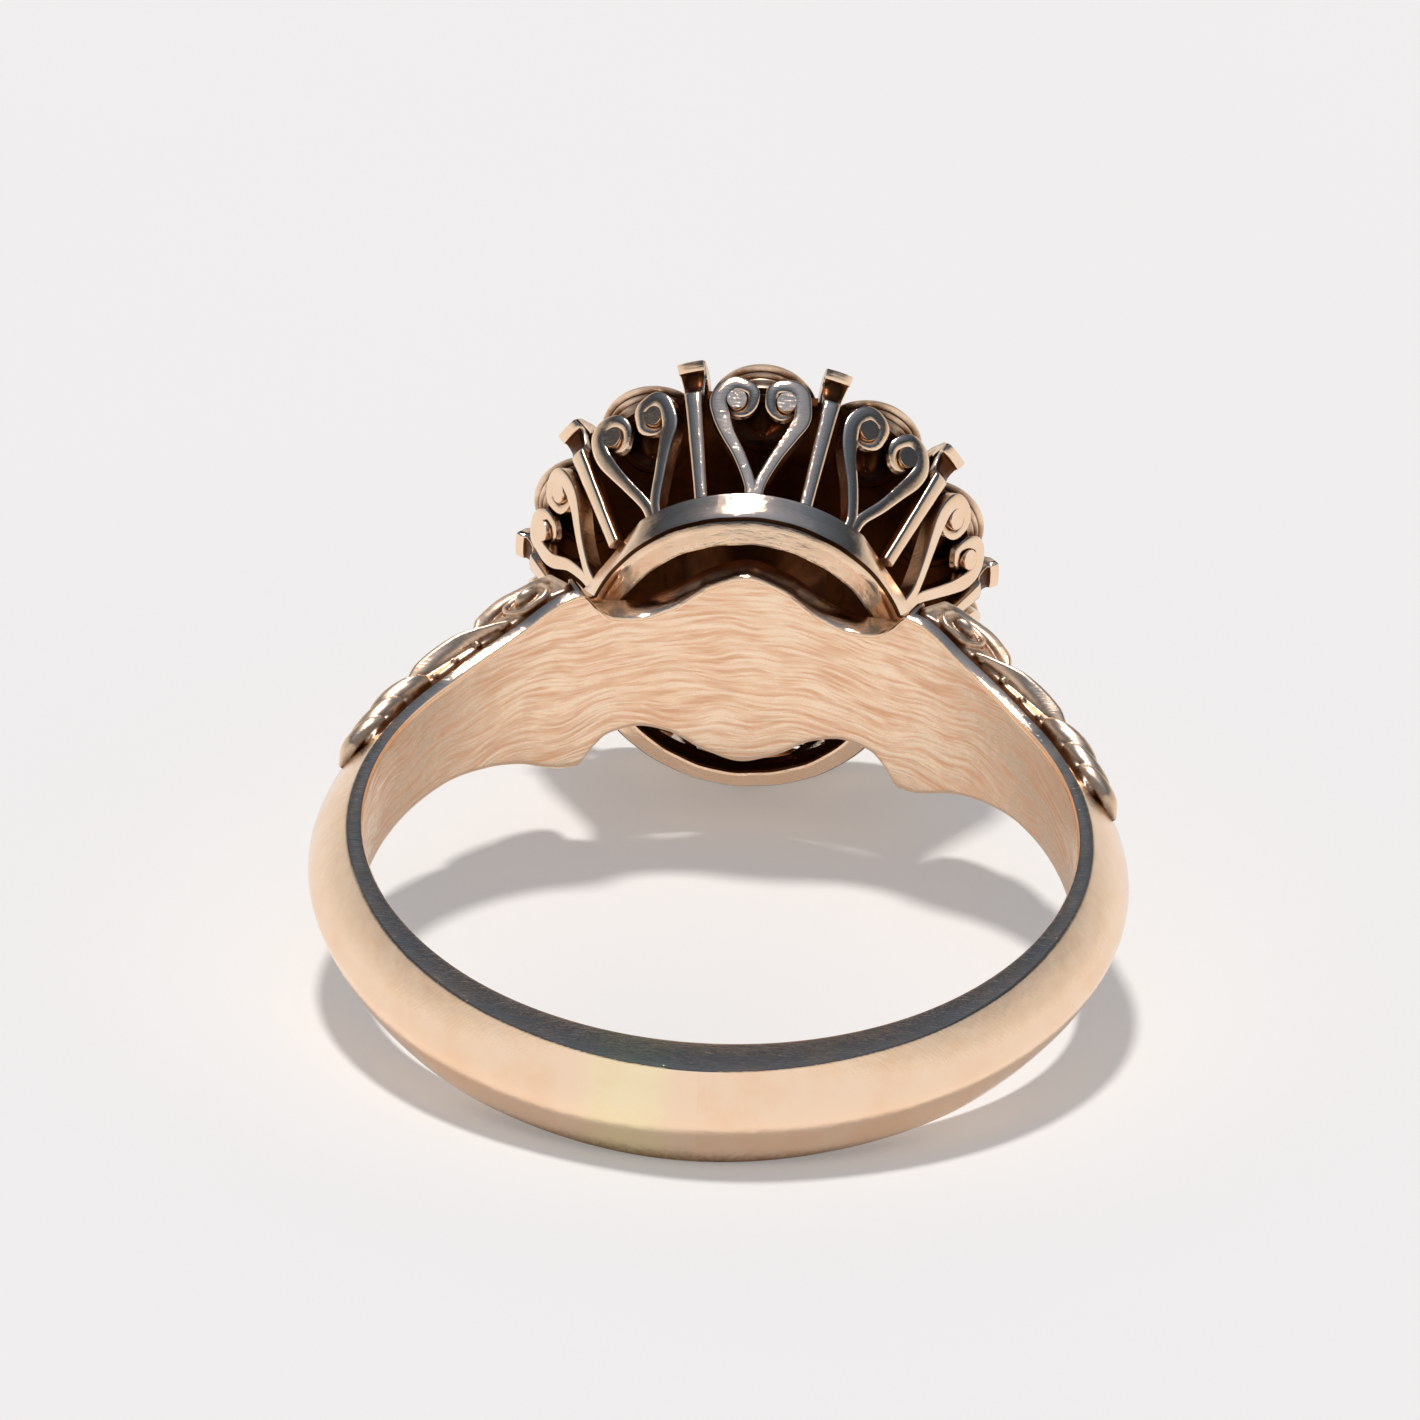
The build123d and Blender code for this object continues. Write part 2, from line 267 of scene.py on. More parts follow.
def domed_button(profile: Sequence[tuple[float, float]], steps: int, centre: tuple[float, float]) -> Shell:
    """A turned solid whose open outline starts and ends on its axis.

    Args:
        profile: Outline of (radius, height) from one pole to the other.
        steps: Facets round it.
        centre: Where the axis stands, as (x, w).

    Returns:
        The skin.
    """
    inner = np.array(profile[1:-1], float)
    rings = np.stack([about_head(360 * i / steps, inner[:, 0], inner[:, 1]) for i in range(steps)])
    rows, columns = rings.shape[:2]
    points = np.vstack([rings.reshape(-1, 3), [(0, profile[0][1], 0)], [(0, profile[-1][1], 0)]])
    points += np.array([centre[0], 0, centre[1]])
    faces: list[tuple[int, ...]] = []
    for row in range(rows):
        here, there = row * columns, (row + 1) % rows * columns
        for column in range(columns - 1):
            faces.append((here + column, here + column + 1, there + column + 1, there + column))
        faces.append((rows * columns, here, there))
        faces.append((rows * columns + 1, there + columns - 1, here + columns - 1))
    return Shell(points, faces)


# ---- finishes ------------------------------------------------------------------------------
class Slot(str, Enum):
    """The record's material slots."""

    ROSE = "rose_gold"
    YELLOW = "yellow_gold"
    STONE = "diamond"


class Part(Enum):
    """The two lengths that the hoop is made in, as (start, end) angles from the head."""

    HOOP = (198.5, 539.0)
    INSERT = (179.0, 198.5)


class Grain(Enum):
    """How a gold surface was worked last."""

    POLISHED = "polished by hand"
    LAPPED = "lapped round the bore"
    FILED = "filed and left satin"
    # Carved: its hollows are darkened with painted shade.
    CARVED = "carved, with old polish in the hollows"


Colour = tuple[float, float, float]


class NodeBench:
    """Lays out one material's nodes."""

    def __init__(self, name: str) -> None:
        """Starts an empty material.

        Args:
            name: Its name.
        """
        self.material = bpy.data.materials.new(name)
        self.material.use_nodes = True
        self.tree = self.material.node_tree
        self.tree.nodes.clear()

    def add(
        self, kind: str, settings: Optional[dict] = None, inputs: Optional[dict] = None
    ) -> bpy.types.Node:
        """Adds a node.

        Args:
            kind: Node type without its ShaderNode prefix.
            settings: Attributes to set on the node.
            inputs: Values or sockets for its inputs, by name or number.

        Returns:
            The node.
        """
        node = self.tree.nodes.new("ShaderNode" + kind)
        for key, value in (settings or {}).items():
            setattr(node, key, value)
        for key, value in (inputs or {}).items():
            if isinstance(value, bpy.types.NodeSocket):
                self.tree.links.new(value, node.inputs[key])
            else:
                node.inputs[key].default_value = value
        return node

    def maths(
        self, operation: str, first: object, second: object = 0.0, third: object = 0.0
    ) -> bpy.types.NodeSocket:
        """One sum on numbers or sockets."""
        return self.add("Math", {"operation": operation}, {0: first, 1: second, 2: third}).outputs[0]

    def mix(self, share: object, first: object, second: object) -> bpy.types.NodeSocket:
        """A blend of two colours."""
        node = self.add("Mix", {"data_type": "RGBA"}, {0: share, 6: first, 7: second})
        return node.outputs[2]

    def spread(
        self, value: object, low: float, high: float, to_low: float, to_high: float
    ) -> bpy.types.NodeSocket:
        """A value moved smoothly from one range to another.

        Args:
            value: The value or its socket.
            low: Start of the first range.
            high: End of the first range.
            to_low: Start of the second range.
            to_high: End of the second range.

        Returns:
            The moved value.
        """
        node = self.add(
            "MapRange",
            {"interpolation_type": "SMOOTHSTEP"},
            {0: value, 1: low, 2: high, 3: to_low, 4: to_high},
        )
        return node.outputs[0]

    def noise(self, spot: object, scale: float, detail: float, rough: float = 0.5) -> bpy.types.NodeSocket:
        """Soft noise at a spot.

        Args:
            spot: Where it is read.
            scale: How close together its lumps are.
            detail: How many finer layers it has.
            rough: How strong the finer layers are.

        Returns:
            The noise.
        """
        inputs = {"Vector": spot, "Scale": scale, "Detail": detail, "Roughness": rough}
        node = self.add("TexNoise", None, inputs)
        return node.outputs[0]

    def ring_spot(self, space: RingSpace) -> bpy.types.NodeSocket:
        """The surface's place in the ring's axes, in millimetres.

        Args:
            space: The ring's axes.

        Returns:
            The place.
        """
        place = self.add("TexCoord").outputs["Object"]
        tilt = math.atan2(space.head.z, space.head.y)
        local = self.add(
            "Mapping",
            {"vector_type": "TEXTURE"},
            {"Vector": place, "Location": tuple(space.centre), "Rotation": (tilt, 0.0, 0.0)},
        )
        grown = self.add("VectorMath", {"operation": "SCALE"}, {0: local.outputs[0], "Scale": 1 / MM})
        return grown.outputs[0]

    def close(self, shader: bpy.types.Node) -> bpy.types.Material:
        """Joins the shader to the output.

        Args:
            shader: The shader.

        Returns:
            The finished material.
        """
        output = self.add("OutputMaterial", None, {"Surface": shader.outputs[0]})
        output.location = (600, 0)
        return self.material


def solid(colour: Colour) -> tuple[float, float, float, float]:
    """A colour with full cover."""
    return (*colour, 1.0)


@dataclass(frozen=True)
class GoldFinish:
    """One way that the gold is worked.

    Attributes:
        name: Material name.
        lit: Colour of the metal away from the painted shade.
        worn: Colour of the rubbed and slightly dulled metal.
        painted_shade: Colour of the painted shade in the hollows, and of the darker painted lines on lapped
            finishes.
        roughness: Gloss of the metal away from the painted shade.
        grain: How the surface was worked.
        recess_depth: How far a hollow reaches for the painted shade, in millimetres.
        dent: Depth of the hand-made waviness, in millimetres.
        scratch: Depth of the scratches or lines, in millimetres.
        melts_into: Colour that it runs into at the insert's seams, if any.
    """

    name: str
    lit: Colour
    worn: Colour
    painted_shade: Colour
    roughness: float
    grain: Grain
    recess_depth: float = 0.7
    dent: float = 0.012
    scratch: float = 0.005
    melts_into: Optional[Colour] = None

    def melted(
        self, bench: NodeBench, spot: bpy.types.NodeSocket, metal: bpy.types.NodeSocket
    ) -> bpy.types.NodeSocket:
        """Lets the insert's colour run into the hoop's at its two seams.

        Args:
            bench: The material's bench.
            spot: Place in the ring's axes.
            metal: Colour of the metal.

        Returns:
            The metal's colour, blended towards both seams.
        """
        if self.melts_into is None:
            return metal
        middle = math.radians(sum(Part.INSERT.value) / 2)
        round_the_band = (math.cos(middle), -math.sin(middle), 0.0)
        along = bench.add(
            "VectorMath", {"operation": "DOT_PRODUCT"}, {0: spot, 1: round_the_band}
        ).outputs["Value"]
        ragged = bench.maths("MULTIPLY_ADD", bench.noise(spot, 1.6, 2.0), 0.5, bench.maths("ABSOLUTE", along))
        return bench.mix(bench.spread(ragged, 0.75, 1.6, 0.0, 1.0), metal, solid(self.melts_into))

    @staticmethod
    def drawn_out(
        bench: NodeBench, turn: bpy.types.NodeSocket, width: bpy.types.NodeSocket, along: float, across: float
    ) -> bpy.types.NodeSocket:
        """A place stretched round the bore, for noise that reads as lines.

        Args:
            bench: The material's bench.
            turn: Angle round the finger.
            width: Place along the finger.
            along: Marks per radian round the bore.
            across: Marks per millimetre across it.

        Returns:
            The stretched place.
        """
        inputs = {0: bench.maths("MULTIPLY", turn, along), 1: bench.maths("MULTIPLY", width, across)}
        return bench.add("CombineXYZ", None, inputs).outputs[0]

    def lines(self, bench: NodeBench, spot: bpy.types.NodeSocket) -> bpy.types.NodeSocket:
        """The tool marks, from 0 to 1.

        Args:
            bench: The material's bench.
            spot: Place in the ring's axes.

        Returns:
            The height of the marks.
        """
        if self.grain is Grain.LAPPED:
            parts = bench.add("SeparateXYZ", None, {0: spot}).outputs
            turn = bench.maths("ARCTAN2", parts[0], parts[1])
            drift = bench.maths("MULTIPLY", bench.noise(spot, 0.4, 1.0), 1.3)
            width = bench.maths("ADD", parts[2], drift)
            fine = bench.noise(self.drawn_out(bench, turn, width, 6.0, 8.5), 1.0, 5.0, 0.62)
            wide = bench.noise(self.drawn_out(bench, turn, width, 2.2, 3.4), 1.0, 2.0)
            return bench.maths("MULTIPLY_ADD", wide, 0.35, fine)
        stretch = (0.7, 6.0, 0.9) if self.grain is Grain.FILED else (1.0, 9.0, 1.4)
        first = bench.add("Mapping", None, {"Vector": spot, "Rotation": (0.4, 0.3, 0.9), "Scale": stretch})
        second = bench.add("Mapping", None, {"Vector": spot, "Rotation": (1.2, 0.8, -0.6), "Scale": stretch})
        scale = 1.6 if self.grain is Grain.FILED else 2.6
        across = bench.noise(first.outputs[0], scale, 4.0, 0.6)
        back = bench.noise(second.outputs[0], scale, 4.0, 0.6)
        return bench.maths("ADD", across, back)

    def material(self, space: RingSpace) -> bpy.types.Material:
        """Builds the material.

        Args:
            space: The ring's axes, so that tool marks follow the bore.

        Returns:
            The material.
        """
        bench = NodeBench(self.name)
        spot = bench.ring_spot(space)
        cloud = bench.noise(spot, 0.8, 4.0, 0.6)
        speck = bench.noise(spot, 7.0, 3.0, 0.6)
        lines = self.lines(bench, spot)
        # Painted light: lapped finishes paint their tool lines as bright glint lines with darker lines
        # between; the others paint shade into their hollows from ambient occlusion with a little random
        # speckle.
        if self.grain is Grain.LAPPED:
            lit_share = bench.spread(lines, 0.48, 0.80, 0.0, 1.0)
        else:
            hollow = bench.add(
                "AmbientOcclusion", {"samples": 6, "only_local": False}, {"Distance": self.recess_depth * MM}
            ).outputs["AO"]
            depth = bench.maths("MULTIPLY_ADD", bench.maths("SUBTRACT", speck, 0.5), 0.25, hollow)
            # Carved finishes get darker, crisper painted shade in their hollows.
            low, high = (0.56, 0.93) if self.grain is Grain.CARVED else (0.2, 0.75)
            lit_share = bench.spread(depth, low, high, 0.0, 1.0)
        metal = bench.mix(bench.spread(cloud, 0.35, 0.7, 0.0, 1.0), solid(self.lit), solid(self.worn))
        # The metal's colour gives way to the painted shade colour where the mask is low.
        colour = bench.mix(lit_share, solid(self.painted_shade), self.melted(bench, spot, metal))
        gloss = bench.maths("ADD", bench.spread(cloud, 0.3, 0.75, 0.0, 0.07), self.roughness)
        gloss = bench.maths("MULTIPLY_ADD", bench.spread(lines, 0.6, 1.2, 0.0, 1.0), 0.06, gloss)
        gloss = bench.maths("MULTIPLY_ADD", bench.maths("SUBTRACT", 1.0, lit_share), 0.22, gloss)
        dents = bench.add(
            "Bump",
            None,
            {"Height": bench.noise(spot, 1.5, 2.0, 0.45), "Distance": self.dent * MM, "Strength": 1.0},
        )
        marks = bench.add(
            "Bump",
            None,
            {"Height": lines, "Distance": self.scratch * MM, "Strength": 1.0, "Normal": dents.outputs[0]},
        )
        shader = bench.add(
            "BsdfPrincipled",
            None,
            {"Base Color": colour, "Metallic": 1.0, "Roughness": gloss, "Normal": marks.outputs[0]},
        )
        return bench.close(shader)


@dataclass(frozen=True)
class StoneFinish:
    """Clear old-cut stone with faint wear and a breath of warmth."""

    name: str
    tint: Colour
    clear: Colour
    haze: float = 0.02
    index: float = 2.417

    def material(self, space: RingSpace) -> bpy.types.Material:
        """Builds the material.

        Args:
            space: The ring's axes.

        Returns:
            The material.
        """
        bench = NodeBench(self.name)
        spot = bench.ring_spot(space)
        cloud = bench.noise(spot, 1.4, 3.0)
        colour = bench.mix(bench.spread(cloud, 0.3, 0.7, 0.0, 1.0), solid(self.tint), solid(self.clear))
        speck = bench.noise(spot, 9.0, 2.0)
        gloss = bench.spread(speck, 0.62, 0.8, 0.0, self.haze)
        shader = bench.add(
            "BsdfPrincipled",
            None,
            {"Base Color": colour, "Roughness": gloss, "IOR": self.index, "Transmission Weight": 1.0},
        )
        return bench.close(shader)


# The third colour of each gold finish is painted into its hollows as shade; on lapped finishes it is the
# darker painted line between the glint lines.
ROSE_LIT = (1.0, 0.755, 0.555)
ROSE_WORN = (0.98, 0.69, 0.475)
SHADE_BROWN = (0.16, 0.06, 0.02)
POLISHED_ROSE = GoldFinish(
    "polished rose gold", ROSE_LIT, ROSE_WORN, SHADE_BROWN, 0.05, Grain.POLISHED, recess_depth=0.6,
)
CARVED_ROSE = GoldFinish(
    "carved rose gold", ROSE_LIT, ROSE_WORN, SHADE_BROWN, 0.27, Grain.CARVED, recess_depth=0.45,
)
# Real lapping lines with painted glints: the lines are coloured bright and dark in turn to stand in for their
# reflections.
BORE_ROSE = GoldFinish(
    "lapped rose gold with painted glints", (1.0, 0.80, 0.60), (1.0, 0.74, 0.53), (0.88, 0.53, 0.33), 0.2, Grain.LAPPED,
    dent=0.02, scratch=0.014,
)
FILED_ROSE = GoldFinish(
    "filed rose gold", ROSE_LIT, ROSE_WORN, SHADE_BROWN, 0.2, Grain.FILED, dent=0.06, scratch=0.035,
)
# Painted shade: near-black rose gold for the gallery plate, the claws' faces under their lips, the collar's
# inner wall and the outsides of the sheets behind the stones, which all lie in shade.
SHADE_ROSE = GoldFinish(
    "rose gold painted dark as shade", (0.12, 0.042, 0.014), (0.06, 0.018, 0.006), (0.012, 0.004, 0.002), 0.24, Grain.FILED,
    recess_depth=1.6,
)
YELLOW_GOLD = GoldFinish(
    "yellow gold solder", (1.0, 0.85, 0.57), (0.97, 0.79, 0.50), (0.2, 0.11, 0.03), 0.05, Grain.POLISHED,
    melts_into=ROSE_LIT,
)
# Real lapping lines with painted glints, as on the rose bore.
YELLOW_BORE = GoldFinish(
    "lapped yellow gold with painted glints", (1.0, 0.86, 0.60), (0.96, 0.78, 0.50), (0.84, 0.60, 0.32), 0.22, Grain.LAPPED,
    dent=0.02, scratch=0.012, melts_into=ROSE_LIT,
)
OLD_DIAMOND = StoneFinish("old-cut diamond", (0.98, 0.96, 0.91), (1.0, 1.0, 1.0))


# ---- the workbench -------------------------------------------------------------------------
class Workbench:
    """Turns skins into finished pieces of the ring."""

    def __init__(self, space: RingSpace) -> None:
        """Keeps the ring's axes and a store for built finishes."""
        self.space = space
        self.made: dict[str, bpy.types.Material] = {}

    def finish(self, finish: GoldFinish | StoneFinish) -> bpy.types.Material:
        """The finish's material, built once.

        Args:
            finish: The finish.

        Returns:
            Its material.
        """
        if finish.name not in self.made:
            self.made[finish.name] = finish.material(self.space)
        return self.made[finish.name]

    def blank(self, name: str, shells: Iterable[Shell]) -> bpy.types.Mesh:
        """One mesh in millimetres, in the ring's axes, from closed skins.

        Args:
            name: Name of the mesh.
            shells: The skins.

        Returns:
            The mesh, with its faces turned outwards.
        """
        points: list[np.ndarray] = []
        faces: list[tuple[int, ...]] = []
        numbers: list[int] = []
        start = 0
        for shell in shells:
            points.append(np.asarray(shell.points, float))
            faces += [tuple(start + corner for corner in face) for face in shell.faces]
            numbers += shell.materials or [0] * len(shell.faces)
            start += len(shell.points)
        mesh = bpy.data.meshes.new(name)
        mesh.from_pydata(np.vstack(points).tolist(), [], faces)
        mesh.polygons.foreach_set("material_index", numbers)
        skins = bmesh.new()
        skins.from_mesh(mesh)
        bmesh.ops.recalc_face_normals(skins, faces=skins.faces[:])
        skins.to_mesh(mesh)
        skins.free()
        return mesh

    def fused(self, mesh: bpy.types.Mesh, grain: float, passes: int) -> bpy.types.Mesh:
        """Melts overlapping skins into one and smooths it.

        Args:
            mesh: The mesh, in millimetres.
            grain: Size of the new faces.
            passes: How many times it is smoothed.

        Returns:
            A new mesh.
        """
        holder = bpy.data.objects.new("melt", mesh)
        bpy.context.scene.collection.objects.link(holder)
        melt = holder.modifiers.new("melt", "REMESH")
        melt.mode = "VOXEL"
        melt.voxel_size = grain
        melt.adaptivity = 0.0
        rub = holder.modifiers.new("rub", "SMOOTH")
        rub.factor = 0.5
        rub.iterations = passes
        bpy.context.view_layer.update()
        shape = holder.evaluated_get(bpy.context.evaluated_depsgraph_get())
        result = bpy.data.meshes.new_from_object(shape)
        bpy.data.objects.remove(holder)
        return result

    def piece(
        self,
        name: str,
        mesh: bpy.types.Mesh,
        finishes: Sequence[GoldFinish | StoneFinish],
        slot: Slot,
        nodes: Sequence[str],
        crease: float = 35.0,
    ) -> bpy.types.Object:
        """Lays a mesh down in the frame as a piece of the ring.

        Args:
            name: The piece's name.
            mesh: The mesh, in millimetres in the ring's axes.
            finishes: Finish of each material number.
            slot: The record's slot for it; not used.
            nodes: The CAD nodes that it stands for.
            crease: Edges that turn by more than this many degrees stay crisp.

        Returns:
            The piece.
        """
        count = len(mesh.vertices)
        flat = np.empty(count * 3)
        mesh.vertices.foreach_get("co", flat)
        mesh.vertices.foreach_set("co", self.space.place(flat.reshape(-1, 3)).ravel())
        mesh.polygons.foreach_set("use_smooth", [crease > 0] * len(mesh.polygons))
        if crease > 0:
            mesh.set_sharp_from_angle(angle=math.radians(crease))
        for finish in finishes:
            mesh.materials.append(self.finish(finish))
        mesh.update()
        piece = bpy.data.objects.new(name, mesh)
        mesh.name = name
        bpy.context.scene.collection.objects.link(piece)
        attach(piece, "root")
        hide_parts(*nodes)
        LOG.info("%s: %d points, %d faces", name, count, len(mesh.polygons))
        return piece


# ---- shank ---------------------------------------------------------------------------------
@dataclass
class Hoop:
    """Plain D-section hoop with the bridge under the head and a channelled rim at the shoulders.

    All angles are in degrees round the finger from the middle of the head.
    """

    bore: float = 8.65
    bridge: float = 9.5
    bridge_end: float = 27.7
    rim_top: float = 8.97
    channel_depth: float = 0.3
    channel_top: float = 9.3
    dome_steps: int = 14
    bore_shares: tuple[float, ...] = (0.04, 0.28, 0.52, 0.76, 0.95)
    half_width: Callable[[float], float] = field(
        default_factory=lambda: smooth_curve(
            [(0, 2.81), (6, 2.50), (12, 1.91), (17.5, 1.67), (22, 1.78), (25, 2.16), (27.5, 2.60), (30, 2.57),
             (33, 2.41), (38, 2.05), (45, 1.74), (55, 1.50), (66, 1.46), (75, 1.45), (90, 1.41), (120, 1.40),
             (150, 1.36), (180, 1.35)]
        )
    )
    crease: Callable[[float], float] = field(
        default_factory=lambda: smooth_curve(
            [(60, 8.97), (76, 8.99), (90, 9.03), (110, 9.10), (130, 9.30), (150, 9.54), (180, 9.82)]
        )
    )
    roundness: float = 1.65
    crown: Callable[[float], float] = field(
        default_factory=lambda: smooth_curve(
            [(60, 10.0), (78, 9.97), (112, 9.96), (146, 10.04), (180, 10.05)]
        )
    )

    def dome(self, away: float, shares: np.ndarray) -> np.ndarray:
        """The hoop's outside, which rises from its crease to its crown.

        Args:
            away: Angle from the head, 0 to 180.
            shares: How far in from the crease, 0 there and 1 at the crown.

        Returns:
            Rows of (radius, width).
        """
        width, low, high = self.half_width(away), self.crease(away), self.crown(away)
        away_from_crown = 1 - shares
        radius = high - (high - low) * away_from_crown**self.roundness
        return np.stack([radius, width * away_from_crown], axis=1)

    def half_section(self, away: float) -> np.ndarray:
        """Half of the hoop's section, from the bore's edge over the outside to the crown.

        Args:
            away: Angle from the head, 0 to 180.

        Returns:
            Rows of (radius, width).
        """
        width = self.half_width(away)
        steps = np.linspace(0.0, 1.0, self.dome_steps)
        edge = [(0.0, 0.14), (0.012, 0.07), (0.05, 0.02), (0.12, 0.0)]
        inside = [(self.bore, (width - 0.14) * share) for share in self.bore_shares]
        lip = np.array(inside + [(self.bore + rise, width - inset) for rise, inset in edge])
        side = self.crease(away) - 0.02
        shares = np.concatenate([[0.02, 0.05, 0.08], 0.08 + 0.92 * steps])
        plain = np.vstack([[(side, width)], self.dome(away, shares)])
        floor = width - self.channel_depth
        channel = np.vstack(
            [
                [(self.rim_top - 0.02, width), (self.rim_top, width - 0.03)],
                [(self.rim_top + 0.04, floor + 0.02)],
                [(self.channel_top - 0.03, floor)],
                np.stack([np.full(self.dome_steps, self.channel_top), floor * (1 - steps) * 0.98], axis=1),
            ]
        )
        under = np.vstack(
            [
                [(self.bridge - 0.07, width), (self.bridge - 0.035, width - 0.02)],
                [(self.bridge - 0.01, width - 0.07), (self.bridge, width - 0.12)],
                np.stack(
                    [np.full(self.dome_steps, self.bridge), (width - 0.12) * (1 - steps) * 0.98], axis=1
                ),
            ]
        )
        swell = float(smooth_step(away, self.bridge_end, self.bridge_end + 0.4))
        settle = float(smooth_step(away, 63.0, 73.5))
        outside = under * (1 - swell) + channel * swell
        return np.vstack([lip, outside * (1 - settle) + plain * settle])

    def section(self, angle: float) -> np.ndarray:
        """The whole section as a loop of points.

        Args:
            angle: Degrees round the finger from the head.

        Returns:
            The points in the ring's axes.
        """
        away = abs((angle + 180) % 360 - 180)
        half = self.half_section(away)
        other = half[::-1] * np.array([1, -1])
        loop = np.vstack([half, other])
        return about_finger(angle, loop[:, 0], loop[:, 1])

    def build(self, bench: Workbench, part: Part) -> bpy.types.Object:
        """Makes one length of the hoop.

        Args:
            bench: The workbench.
            part: Which length.

        Returns:
            The piece.
        """
        start, end = part.value
        angles = list(np.linspace(start, end, int((end - start) * 1.5) + 1))
        if part is Part.HOOP:
            steep = np.linspace(self.bridge_end, self.bridge_end + 0.4, 5)
            angles += [360 - a for a in steep] + [360 + a for a in steep]
        angles = sorted(angles)
        rings = np.stack([self.section(a) for a in angles])
        columns = rings.shape[1]
        inner = len(self.bore_shares)
        strips = [1] * inner + [0] * (columns - 2 * inner - 1) + [1] * (inner + 1)
        mesh = bench.blank(part.name.lower(), [skin(rings, False, strips)])
        if part is Part.HOOP:
            return bench.piece("shank_hoop", mesh, [POLISHED_ROSE, BORE_ROSE], Slot.ROSE, ["shank"], 30)
        finishes = [YELLOW_GOLD, YELLOW_BORE]
        return bench.piece("sizing_insert_band", mesh, finishes, Slot.YELLOW, ["sizing_insert"], 30)


class Side(Enum):
    """Which side of the head, as the sign of x."""

    LEFT = -1
    RIGHT = 1


@dataclass(frozen=True)
class Blade:
    """One carved leaf, rib or scroll band on a shoulder.

    Attributes:
        route: Places that it passes, as (angle from the head, place across, lift). Across is 0 on the
            crown and 1 at the channel.
        widths: Half widths along it.
        height: How far it stands proud.
        keel: 0 for a round back, 1 for a sharp keel with hollow flanks.
    """

    route: tuple[tuple[float, float, float], ...]
    widths: tuple[float, ...]
    height: float
    keel: float = 0.6


